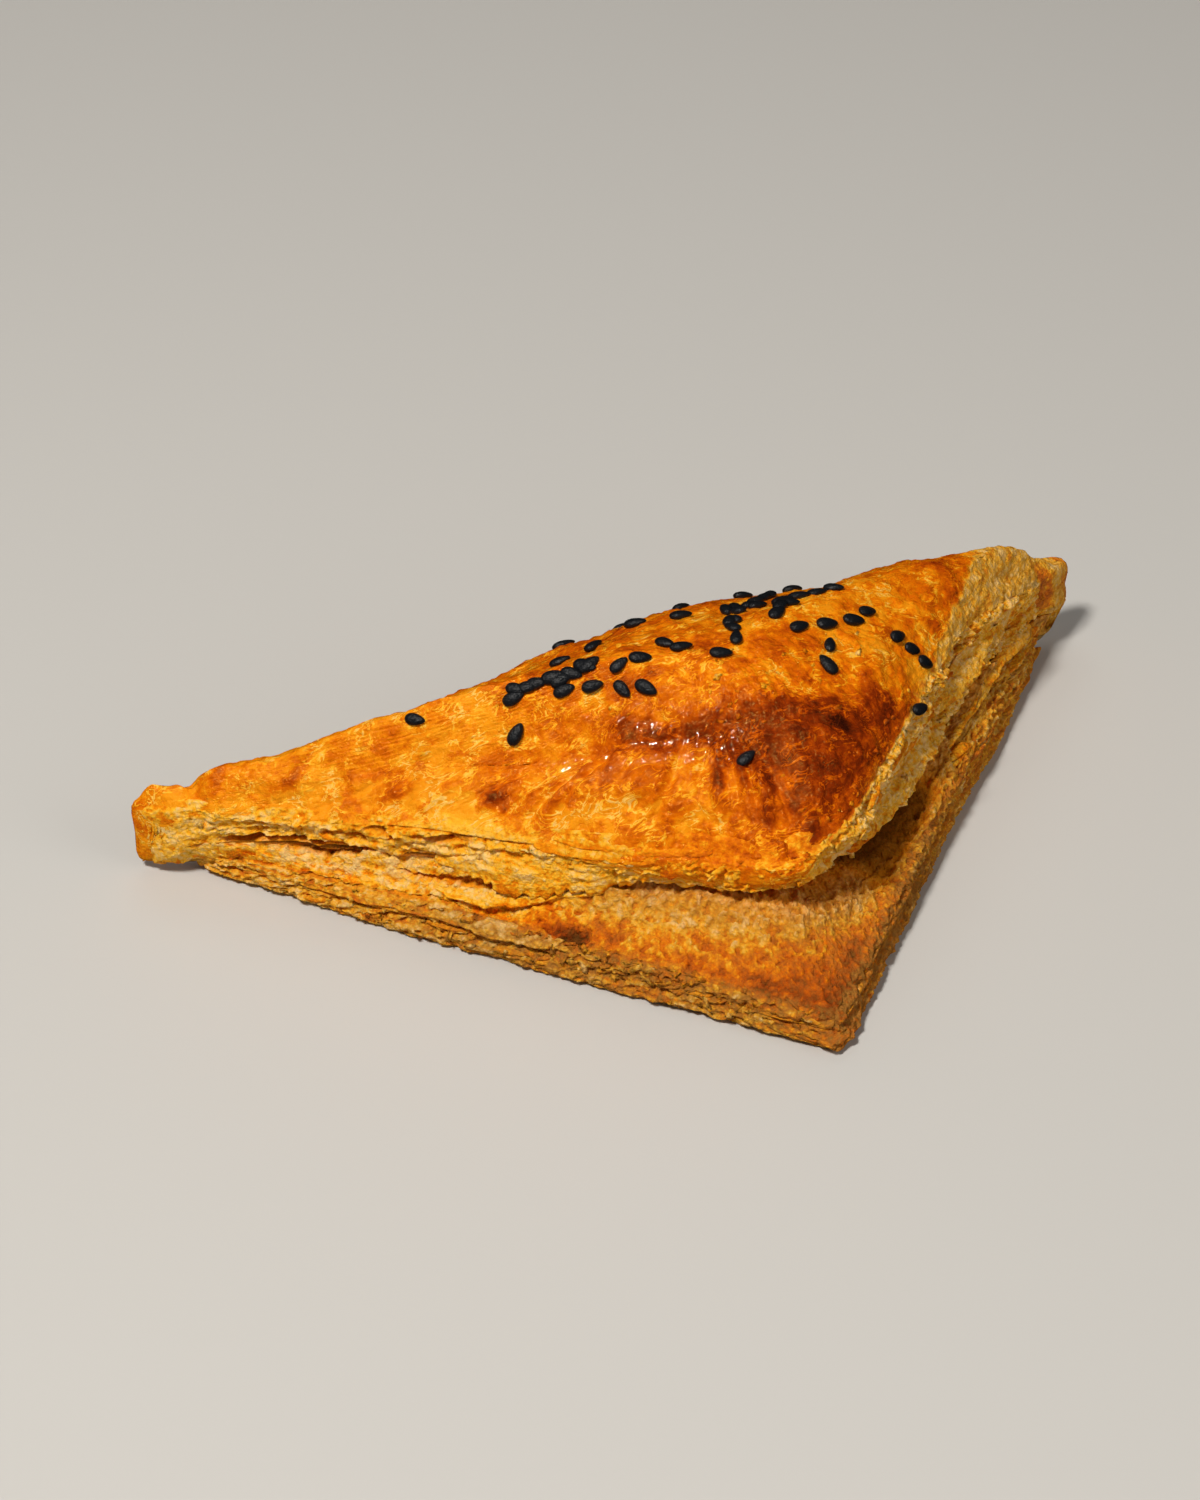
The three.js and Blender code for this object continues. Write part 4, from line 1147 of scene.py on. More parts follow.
def leaf_slabs(place, root_height, edge_height, root_push, edge_push, thickness, tone, amber_and_painted_shade, loop, seed):
    """Closed slabs, one for each row of the arrays: a bulged chord from buried root to ragged edge."""
    count = len(place)
    name = np.arange(count)[:, None] * 7.3 + np.zeros_like(place)
    along = np.linspace(-1, 1, STATIONS)[None, :]
    taper = np.sqrt(np.clip(1 - np.abs(along) ** 3.0, 0, 1))
    ragged = cloudy(place, name, 0 * place, (2.6, 1, 1), seed)
    ragged = ragged + 0.7 * cloudy(place, name, 0 * place, (0.8, 1, 1), seed + 1)
    wave = cloudy(place, name + 3, 0 * place, (5.0, 1, 1), seed + 2)
    buried = 0.5 * (1 - taper)
    root_inset = face_at(place, root_height) - root_push * taper + buried
    edge_inset = face_at(place, edge_height) - edge_push * (1 + 0.5 * wave + 0.35 * ragged) * taper + buried
    edge_up = root_height + (edge_height - root_height) * (0.35 + 0.65 * taper) * (1 + 0.16 * ragged)
    share, under = (part[None, None, :] for part in loop)
    inset = root_inset[..., None] * (1 - share) + edge_inset[..., None] * share
    up = root_height[..., None] * (1 - share) + edge_up[..., None] * share
    bulge = (4 * share * (1 - share)) * (0.25 * thickness * (1 + wave))[..., None]
    drop_in, drop_up = edge_inset - root_inset, edge_up - root_height
    length = np.hypot(drop_in, drop_up) + 1e-6
    # the slab's own facing direction, square to the chord and turned to the outside
    face_in, face_up = (drop_up / length)[..., None], (-drop_in / length)[..., None]
    turned = np.where(face_up - face_in < 0, -1.0, 1.0)
    spot = np.broadcast_to(place[..., None], inset.shape)
    lumps = crinkled(spot, up * 1.4, 0 * up, 1.7, seed + 5)
    lumps = lumps + 0.8 * billowy(spot, up * 1.6, 0 * up, 3.2, seed + 9, 2)
    lumps = lumps * np.minimum(4 * share * (1 - share), 1) * 0.45 * np.minimum(length[..., None] / 3.0, 1)
    offset = bulge + lumps * (1 - under) - under * (thickness[..., None] * (1 - 0.5 * share**2))
    inset = inset + face_in * turned * offset
    up = up + face_up * turned * offset
    upper = smooth(up, gap_height(spot), gap_height(spot) + gap_opening(spot))
    sharpness = base_sharpness(spot) * (1 - upper) + lid_sharpness(spot) * upper
    flat = plan_point(angle_of(spot), inset, sharpness)
    grid = np.concatenate([flat, np.maximum(up, 0.03)[..., None]], axis=-1)
    toast = tone[..., None] + 0.12 * share**3 + 0.07 * wave[..., None] - 0.16 * lumps
    values = {
        "toast": np.clip(toast + 0.2 * lip_wash(spot, up), 0, 1),
        "wash": 0.7 * lip_wash(spot, up),
        # each leaf's amber tone and painted shade, and the crumb's dull painted shade where it stands
        "amber_and_painted_shade": amber_and_painted_shade[..., None] + 0 * up,
        "painted_shade": painted_shade_share(spot, up),
        "leafy": 0.35 + 0 * up,
        "run": outline_run(spot, up + name[..., None], inset),
    }
    return grid, values


def slab_faces(grid):
    """Triangles round every slab, station by station, with a flat cap at both of its ends, all facing out."""
    count, stations, loop = grid.shape[:3]
    start = (np.arange(count) * stations * loop)[:, None, None]
    station = (np.arange(stations - 1) * loop)[None, :, None]
    side = np.arange(loop)[None, None, :]
    beside = (side + 1) % loop
    a, b = start + station + side, start + station + beside
    c, d = b + loop, a + loop
    around = np.concatenate([np.stack([a, b, c], -1).reshape(-1, 3), np.stack([a, c, d], -1).reshape(-1, 3)])
    fan = np.array([[0, k + 1, k + 2] for k in range(loop - 2)])
    near = (start + fan[None]).reshape(-1, 3)[:, ::-1]
    far = (start + (stations - 1) * loop + fan[None]).reshape(-1, 3)
    faces = np.concatenate([around, near, far])
    owner = faces[:, 0] // (stations * loop)
    points = grid.reshape(-1, 3)
    a, b, c = points[faces[:, 0]], points[faces[:, 1]], points[faces[:, 2]]
    volume = np.bincount(owner, np.einsum("ij,ij->i", a, np.cross(b, c)), minlength=count)
    inside_out = volume[owner] < 0
    faces[inside_out] = faces[inside_out][:, ::-1]
    return faces


# each named leaf: its root line, its free edge line, how far the edge stands off, thickness, tone, amber tone
# and painted shade
NAMED_LEAVES = [
    ([(33, 11.4), (38, 13.0), (46, 14.4), (55, 15.6), (65, 16.6), (76, 17.0)],
     [(33, 9.6), (38, 9.0), (44, 9.2), (49, 9.4), (54, 10.0), (60, 11.2), (66, 12.6), (76, 15.0)],
     1.0, 0.5, 0.14, 0.0),
    ([(35.5, 7.0), (41, 7.6), (47, 8.6), (54, 9.8), (60, 10.6)],
     [(35.5, 6.6), (41, 6.5), (45, 6.2), (49, 7.5), (53, 9.0), (60, 10.2)], 0.6, 0.45, 0.12, 0.0),
    ([(50, 17.2), (58, 17.8), (66, 18.2), (78, 18.6)],
     [(50, 16.2), (58, 16.8), (66, 17.0), (78, 17.8)], 0.2, 0.3, 0.26, 0.1),
    ([(48, 16.4), (58, 16.9), (70, 17.2)], [(48, 15.4), (58, 15.9), (70, 16.4)], 0.35, 0.3, 0.22, 0.2),
    ([(60, 13.0), (70, 13.6), (82, 14.2), (92, 14.8)],
     [(60, 11.6), (70, 12.0), (82, 12.4), (92, 13.4)], 0.7, 0.5, 0.1, 0.0),
    ([(41, 5.0), (49, 5.2), (57, 4.9)], [(41, 4.3), (49, 4.0), (57, 4.2)], 0.9, 0.5, 0.1, 0.0),
    ([(12, 3.4), (24, 4.6), (36, 4.9), (52, 4.8)],
     [(12, 2.4), (24, 3.5), (36, 4.0), (52, 4.2)], 0.5, 0.5, 0.2, 0.0),
    ([(150, 16.2), (158, 16.9), (166, 17.2), (173, 17.2)],
     [(150, 14.6), (156, 14.2), (162, 14.4), (168, 15.2), (173, 16.2)], 1.2, 0.5, 0.1, 0.0),
    ([(116, 16.4), (126, 16.6), (136, 16.4), (146, 16.2)],
     [(116, 15.0), (122, 13.8), (130, 13.6), (138, 12.6), (146, 13.6)], 0.9, 0.6, 0.1, 0.0),
    ([(160, 11.8), (170, 11.4), (180, 10.0)], [(160, 10.6), (170, 9.8), (180, 8.4)], 0.8, 0.5, 0.16, 0.1),
]
# each area of short leaves: how many, places, share of the way up from one track to another, length,
# how far they stick out, tone
STRIP, SLOPE, WALL = 0, 1, 2
LEAF_AREAS = [
    (12, 10.0, 60.0, STRIP, 0.3, 0.85, 8.0, 0.3, 0.2),
    (12, 60.0, 95.0, STRIP, 0.3, 0.8, 6.0, 0.3, 0.22),
    (30, 97.0, 186.0, STRIP, 0.25, 0.9, 11.0, 0.35, 0.22),
    (14, 118.0, 182.0, SLOPE, 0.05, 0.95, 10.0, 0.5, 0.17),
    (4, 12.0, 60.0, WALL, 0.1, 0.9, 5.0, 0.35, 0.13),
    (34, 112.0, 180.0, WALL, 0.05, 0.9, 8.0, 0.55, 0.17),
]


def named_leaf_arrays():
    """The named leaves as arrays, one row each, their lines straight between the named points."""
    rows = []
    for root, edge, lift, thickness, tone, amber_and_painted_shade in NAMED_LEAVES:
        root, edge = np.array(root), np.array(edge)
        place = np.linspace(root[0, 0], root[-1, 0], STATIONS)
        full = np.ones(STATIONS)
        rows.append([
            place, np.interp(place, *root.T), np.interp(place, *edge.T), -0.5 * full, lift * full,
            thickness * full, tone * full, amber_and_painted_shade * full])
    return np.array(rows).transpose(1, 0, 2)


def random_leaf_arrays(seed):
    """Short leaves strewn over each area, sticking straight out, with drawn places, lengths and levels."""
    dice = np.random.default_rng(seed)
    rows = []
    for count, first, last, band, low, high, length, reach, tone in LEAF_AREAS:
        for middle in dice.uniform(first, last, count):
            half = 0.5 * length * dice.uniform(0.5, 1.4)
            if band == STRIP and 50 < middle < 66:
                half = 2.5
            if band == SLOPE and (47 < middle < 66 or 112 < middle < 148):
                continue
            start, stop = max(middle - half, first), min(middle + half, last)
            place = np.linspace(start, stop, STATIONS)
            lower = (0.3, base_height(place), gap_height(place) + gap_opening(place))[band]
            upper = (base_height(place), gap_height(place), lid_height(place))[band]
            share = dice.uniform(low, high) + dice.uniform(-0.12, 0.12) * np.linspace(-1, 1, STATIONS)
            level = lower + (upper - lower) * share
            full = np.ones(STATIONS)
            tilt = dice.uniform(-0.5, 0.35)
            push = reach * dice.uniform(0.4, 1.2)
            thickness = dice.uniform(0.22, 0.45)
            shade = tone + dice.uniform(-0.1, 0.12)
            amber_and_painted_shade = max(dice.uniform(-0.3, 0.25), 0)
            rows.append([
                place, level, level + tilt, -1.1 * full, push * full,
                thickness * full, shade * full, amber_and_painted_shade * full])
    return np.array(rows).transpose(1, 0, 2)


def make_leaves(name, arrays, loop, seed):
    """One mesh of all the slabs in the arrays."""
    grid, values = leaf_slabs(*arrays, loop, seed)
    faces = slab_faces(grid)
    stored = {key: value.reshape(-1, *value.shape[3:]) for key, value in values.items()}
    return make_piece(name, grid.reshape(-1, 3), faces, stored, "flaky_crumb")


torn_leaves = make_leaves("torn_leaves", named_leaf_arrays(), LONG_LOOP, 201)
strewn = random_leaf_arrays(7)
IN_FIRST_MESH = 60
short_leaves = [
    make_leaves("short_leaves", strewn[:, :IN_FIRST_MESH], SHORT_LOOP, 211),
    make_leaves("more_short_leaves", strewn[:, IN_FIRST_MESH:], SHORT_LOOP, 221),
]

# %% [markdown]
# ## Broken flakes
# Broken flakes stick to the base sheet's cut edge, to the torn wall and to the glaze. Each is a
# small block with its corners pushed about at random, laid on a drawn point of a finished grid and
# turned about the surface's own facing direction. It takes its shade from the dough under it.

# %% Broken flakes
BLOCK = 0.5 * np.array([
    [-1, -1, -1], [1, -1, -1], [1, 1, -1], [-1, 1, -1], [-1, -1, 1], [1, -1, 1], [1, 1, 1], [-1, 1, 1]])
BLOCK_FACES = np.array([
    [0, 2, 1], [0, 3, 2], [4, 5, 6], [4, 6, 7], [0, 1, 5], [0, 5, 4],
    [1, 2, 6], [1, 6, 5], [2, 3, 7], [2, 7, 6], [3, 0, 4], [3, 4, 7]])


def strewn_blocks(name, grid, values, chosen, size, tilt, tone, slot, seed):
    """Blocks on chosen points of a grid: corners jittered, scaled, leant over and turned by drawn amounts."""
    dice = np.random.default_rng(seed)
    rows, places = grid.shape[:2]
    normals = grid_normals(grid).reshape(-1, 3)[chosen]
    across = (np.roll(grid, -1, axis=1) - grid).reshape(-1, 3)[chosen]
    across = across / np.maximum(np.linalg.norm(across, axis=-1, keepdims=True), 1e-9)
    count = len(chosen)
    lean = normals + tilt * dice.normal(size=(count, 3))
    up = lean / np.linalg.norm(lean, axis=-1, keepdims=True)
    spin = across + 0.55 * dice.normal(size=(count, 3))
    side = np.cross(up, spin)
    side = side / np.maximum(np.linalg.norm(side, axis=-1, keepdims=True), 1e-9)
    ahead = np.cross(side, up)
    scale = np.array(size) * dice.uniform(0.45, 1.35, (count, 1)) * dice.uniform(0.7, 1.3, (count, 3))
    corners = BLOCK[None] + 0.24 * dice.normal(size=(count, 8, 3)).clip(-1.4, 1.4)
    corners = corners * scale[:, None, :]
    centre = grid.reshape(-1, 3)[chosen] - normals * (0.1 * scale[:, 2:3])
    turned = np.stack([ahead, side, up], axis=1)
    points = centre[:, None, :] + corners @ turned
    points[..., 2] = np.maximum(points[..., 2], 0.02)
    faces = (np.arange(count)[:, None, None] * 8 + BLOCK_FACES[None]).reshape(-1, 3)
    stored = {}
    for key, value in values.items():
        picked = value.reshape(rows * places, *value.shape[2:])[chosen]
        stored[key] = np.repeat(picked, 8, axis=0)
    shade = tone + 0.04 * dice.normal(size=count)
    stored["toast"] = np.clip(stored["toast"] + np.repeat(shade, 8), 0, 1)
    stored["wash"] = stored["wash"] * 0.4
    stored["leafy"] = 0.3 + 0 * stored["toast"]
    return make_piece(name, points.reshape(-1, 3), faces, stored, slot)


def chosen_points(share, count, seed):
    """Numbers of the drawn points of a grid, each point as likely as its share."""
    dice = np.random.default_rng(seed)
    weights = np.clip(share, 0, None).ravel()
    return dice.choice(weights.size, count, replace=False, p=weights / weights.sum())


def grid_rows(grid):
    """The row number of every point of a grid."""
    return np.broadcast_to(np.arange(grid.shape[0])[:, None], grid.shape[:2])


sheet_place = columns(*SHEET_STEPS)[None, :]
base_row = grid_rows(base_grid)
on_edge = (base_row > 18) & (base_row < 48)
on_strip = on_edge & (sheet_place < 93) & (sheet_place > 24)
strip_flakes = strewn_blocks(
    "strip_flakes", base_grid, base_values, chosen_points(on_strip * 1.0, 160, 303),
    (1.2, 0.5, 0.25), 0.12, -0.02, "flaky_crumb", 304)
wall_row = grid_rows(wall_grid)
on_wall = (wall_row > 8) & (wall_row < 68) & (sheet_place < 186) & (sheet_place > 6)
wall_share = on_wall * (0.5 + smooth(sheet_place, 95, 115))
wall_flakes = strewn_blocks(
    "wall_flakes", wall_grid, wall_values, chosen_points(wall_share, 260, 305),
    (1.0, 0.5, 0.25), 0.12, 0.0, "flaky_crumb", 306)

lid_x, lid_y = lid_grid[..., 0], lid_grid[..., 1]
near_front = np.exp(-(((lid_x - 8) ** 2 + (lid_y + 12) ** 2) / 400))
fleck_share = 0.25 * near_front + stain(lid_x, lid_y, [(14, -14), (24, -6)], 4.0)
fleck_share = fleck_share * (lid_values["wash"] > 0.9)
glaze_flecks = strewn_blocks(
    "glaze_flecks", lid_grid, lid_values, chosen_points(fleck_share, 70, 307),
    (0.7, 0.4, 0.2), 0.35, -0.2, "glazed_crust", 308)

# %% [markdown]
# ## Black sesame
# The seeds follow the same rule as the solid model's: drifts of a few seeds each, strewn along a
# line and nudged by repeatable draws. Each seed is a drop, blunt at one end and narrow at the
# other, sunk a little into the glaze.

# %% Black sesame
SEED_LENGTH, SEED_WIDTH, SEED_THICKNESS, SEED_SUNK = 3.0, 1.7, 1.1, 0.2
# each drift: from x, y, to x, y in the plan from the middle of the lid, how many, spread, heading in degrees
SEED_DRIFTS = [
    (-24.5, -19.2, -14.2, -22.4, 9, 0.5, -18), (-18.4, -22.6, -15.2, -24.0, 2, 0.2, -20),
    (-15.8, -15.4, -11.3, -15.6, 2, 0.4, 5), (-24.8, -22.2, -24.8, -22.2, 1, 0.0, 60),
    (-35.5, -14.3, -35.5, -14.3, 1, 0.0, -15), (-11.4, -24.2, -8.6, -24.6, 2, 0.2, -12),
    (-12.0, -26.6, -9.4, -28.2, 2, 0.0, -65), (-4.4, -22.6, -3.2, -25.0, 2, 0.0, -40),
    (-4.2, -12.6, 1.2, -15.4, 2, 0.2, -10), (9.0, -14.2, 3.8, -26.4, 7, 1.0, 80),
    (10.8, -15.2, 16.2, -11.4, 4, 0.5, 25), (11.8, -17.6, 12.4, -23.2, 4, 1.8, 10),
    (14.6, -18.2, 22.9, -17.0, 4, 0.9, -15), (0.7, -28.5, 0.7, -28.5, 1, 0.0, -22),
    (13.2, -25.2, 17.5, -25.0, 2, 0.3, 20), (15.9, -28.8, 14.1, -32.0, 2, 0.0, 85),
    (21.7, -24.0, 24.6, -22.2, 2, 0.0, -12), (27.0, -26.2, 30.6, -27.4, 3, 0.4, 8),
    (26.6, -34.2, -1.2, -40.8, 2, 0.0, 40), (-10.0, -7.0, 22.0, -7.0, 5, 1.6, 20),
]


def seed_spots():
    """Plan point, heading and size of every seed, by the solid model's own draws."""
    spots = []
    for drift, (from_x, from_y, to_x, to_y, count, spread_by, turn) in enumerate(SEED_DRIFTS):
        for seed in range(count):
            name = 100 * drift + 10 * seed
            t = seed / (count - 1) if count > 1 else 0.0
            spots.append((
                MIDDLE[0] + from_x + (to_x - from_x) * t + spread_by * draw(name + 1),
                MIDDLE[1] + INRADIUS + from_y + (to_y - from_y) * t + spread_by * draw(name + 2),
                math.radians(turn + 35 * draw(name + 3)),
                1 + 0.1 * draw(name + 4),
            ))
    return np.array(spots)


def seed_mesh(spots, ground, ground_normals):
    """Drops laid on the lid: rings along the length, narrowed towards one end, tilted with the ground."""
    rings, around = 13, 14
    along = -np.cos(np.linspace(0, np.pi, rings)) * 0.5
    ring_size = np.sqrt(np.clip(0.25 - along**2, 0, None)) * 2
    turn = np.linspace(0, 2 * np.pi, around, endpoint=False)
    narrow = 1 - 0.5 * along
    shape = np.stack([
        np.broadcast_to(along[:, None] * SEED_LENGTH, (rings, around)),
        (ring_size * narrow)[:, None] * np.cos(turn)[None] * SEED_WIDTH / 2,
        (ring_size * narrow)[:, None] * np.sin(turn)[None] * SEED_THICKNESS / 2,
    ], -1)
    shape = shape[1:-1].reshape(-1, 3)
    ends = np.array([[-0.5 * SEED_LENGTH, 0, 0], [0.5 * SEED_LENGTH, 0, 0]])
    shape = np.concatenate([shape, ends])
    faces = grid_faces(rings - 2, around, False)[:, ::-1]
    column = np.arange(around)
    beside = (column + 1) % around
    first, last = np.full(around, (rings - 2) * around), np.full(around, (rings - 2) * around + 1)
    far = (rings - 3) * around
    first_cap = np.stack([first, column, beside], -1)
    last_cap = np.stack([last, far + beside, far + column], -1)
    faces = np.concatenate([faces, first_cap, last_cap])
    points = []
    for (heading, size), spot, normal in zip(spots[:, 2:], ground, ground_normals):
        ahead = np.array([math.cos(heading), math.sin(heading), 0.0])
        ahead = ahead - normal * ahead.dot(normal)
        ahead = ahead / np.linalg.norm(ahead)
        side = np.cross(normal, ahead)
        centre = spot + normal * (SEED_THICKNESS / 2 - SEED_SUNK)
        points.append(centre + size * (shape[:, :1] * ahead + shape[:, 1:2] * side + shape[:, 2:] * normal))
    each = len(shape)
    all_faces = (np.arange(len(spots))[:, None, None] * each + faces[None]).reshape(-1, 3)
    return np.concatenate(points), all_faces


def ground_under(spots, grid):
    """Height and mean facing direction of the lid under each spot, from the grid points near it."""
    points = grid.reshape(-1, 3)
    normals = grid_normals(grid).reshape(-1, 3)
    seen = normals[:, 2] > 0.2
    points, normals = points[seen], normals[seen]
    ground, facing = [], []
    for x, y in spots[:, :2]:
        distance = np.hypot(points[:, 0] - x, points[:, 1] - y)
        near = distance < 1.3
        facing.append(normals[near].sum(axis=0) / np.linalg.norm(normals[near].sum(axis=0)))
        ground.append([x, y, points[near, 2].mean()])
    return np.array(ground), np.array(facing)


spots = seed_spots()
ground, ground_facing = ground_under(spots, lid_grid)
seed_points, seed_faces = seed_mesh(spots, ground, ground_facing)
seeds = make_piece("black_sesame", seed_points, seed_faces, {}, "black_sesame")
print(len(spots), "seeds")

# %% [markdown]
# ## Helpers for the materials
# A material is a tree of small nodes. These helpers add one node each, set its numbers and give
# back the output, so that the recipes below read like sums.

# %% Node helpers
def new_group(name, inputs, outputs):
    """An empty shader node group with named inputs and outputs."""
    group = bpy.data.node_groups.new(name, "ShaderNodeTree")
    for label, kind, value in inputs:
        socket = group.interface.new_socket(label, in_out="INPUT", socket_type=kind)
        if value is not None:
            socket.default_value = value
    for label, kind in outputs:
        group.interface.new_socket(label, in_out="OUTPUT", socket_type=kind)
    enter = group.nodes.new("NodeGroupInput")
    leave = group.nodes.new("NodeGroupOutput")
    return group, enter, leave


def add(tree, kind, **settings):
    """A node in a tree, with its own settings given by name."""
    node = tree.nodes.new(kind)
    for key, value in settings.items():
        setattr(node, key, value)
    return node


def link(tree, source, target):
    """Joins an output to an input."""
    tree.links.new(source, target)


def sums(tree, operation, first, second, clamp=False):
    """A Math node on two values or sockets, giving its output."""
    node = add(tree, "ShaderNodeMath", operation=operation, use_clamp=clamp)
    for socket, value in zip(node.inputs, (first, second)):
        if isinstance(value, (int, float)):
            socket.default_value = value
        else:
            link(tree, value, socket)
    return node.outputs[0]


def spread(tree, value, low, high, to_low=0.0, to_high=1.0):
    """A Map Range node: low and high of a value become other numbers, and beyond them it stops."""
    node = add(tree, "ShaderNodeMapRange")
    link(tree, value, node.inputs["Value"])
    node.inputs["From Min"].default_value = low
    node.inputs["From Max"].default_value = high
    node.inputs["To Min"].default_value = to_low
    node.inputs["To Max"].default_value = to_high
    return node.outputs["Result"]


def noise(tree, vector, scale, detail=2.0, roughness=0.5, distortion=0.0):
    """A Noise Texture of so many cells a metre, giving its factor."""
    node = add(tree, "ShaderNodeTexNoise")
    link(tree, vector, node.inputs["Vector"])
    node.inputs["Scale"].default_value = scale
    node.inputs["Detail"].default_value = detail
    node.inputs["Roughness"].default_value = roughness
    node.inputs["Distortion"].default_value = distortion
    return node.outputs["Fac"]


def blend_colour(tree, share, first, second):
    """A colour Mix node; each colour is a socket or three numbers."""
    node = add(tree, "ShaderNodeMix", data_type="RGBA")
    link(tree, share, node.inputs["Factor"])
    for socket, value in ((node.inputs[6], first), (node.inputs[7], second)):
        if isinstance(value, tuple):
            socket.default_value = (*value, 1.0)
        else:
            link(tree, value, socket)
    return node.outputs[2]


# %% [markdown]
# ## Materials: what the bake looks like
# One node group turns the stored toast and wash into colour, and lays a dull painted shade and the
# amber painted shade of hollows over it. The steps from flour-pale through gold and orange to burnt
# are a colour ramp, and noise at two sizes breaks it up; the finer noise is painted darker where its
# bump dips, and so is the crumb between its grains, as painted shade. Where the egg wash lies, it has
# dried in drawn-out streaks and short pale wisps, whose paleness is partly a painted highlight on
# their crests. The group puts out only a colour, a roughness and a height, so both dough materials
# can use it.

# %% Bake colour group
BAKE_STEPS = [
    (0.00, (0.96, 0.60, 0.20)),
    (0.14, (0.97, 0.50, 0.06)),
    (0.23, (0.97, 0.44, 0.018)),
    (0.33, (0.86, 0.262, 0.004)),
    (0.46, (0.72, 0.15, 0.0012)),
    (0.60, (0.52, 0.08, 0.0015)),
    (0.76, (0.26, 0.028, 0.0015)),
    (1.00, (0.04, 0.006, 0.002)),
]
# painted shade colours: a dull tan for crumb in shade, an amber for hollows, near black for the deepest shade
PAINTED_SHADE_COLOUR, AMBER_SHADE_COLOUR, DEEP_SHADE = (0.36, 0.145, 0.024), (0.84, 0.27, 0.006), (0.12, 0.033, 0.003)


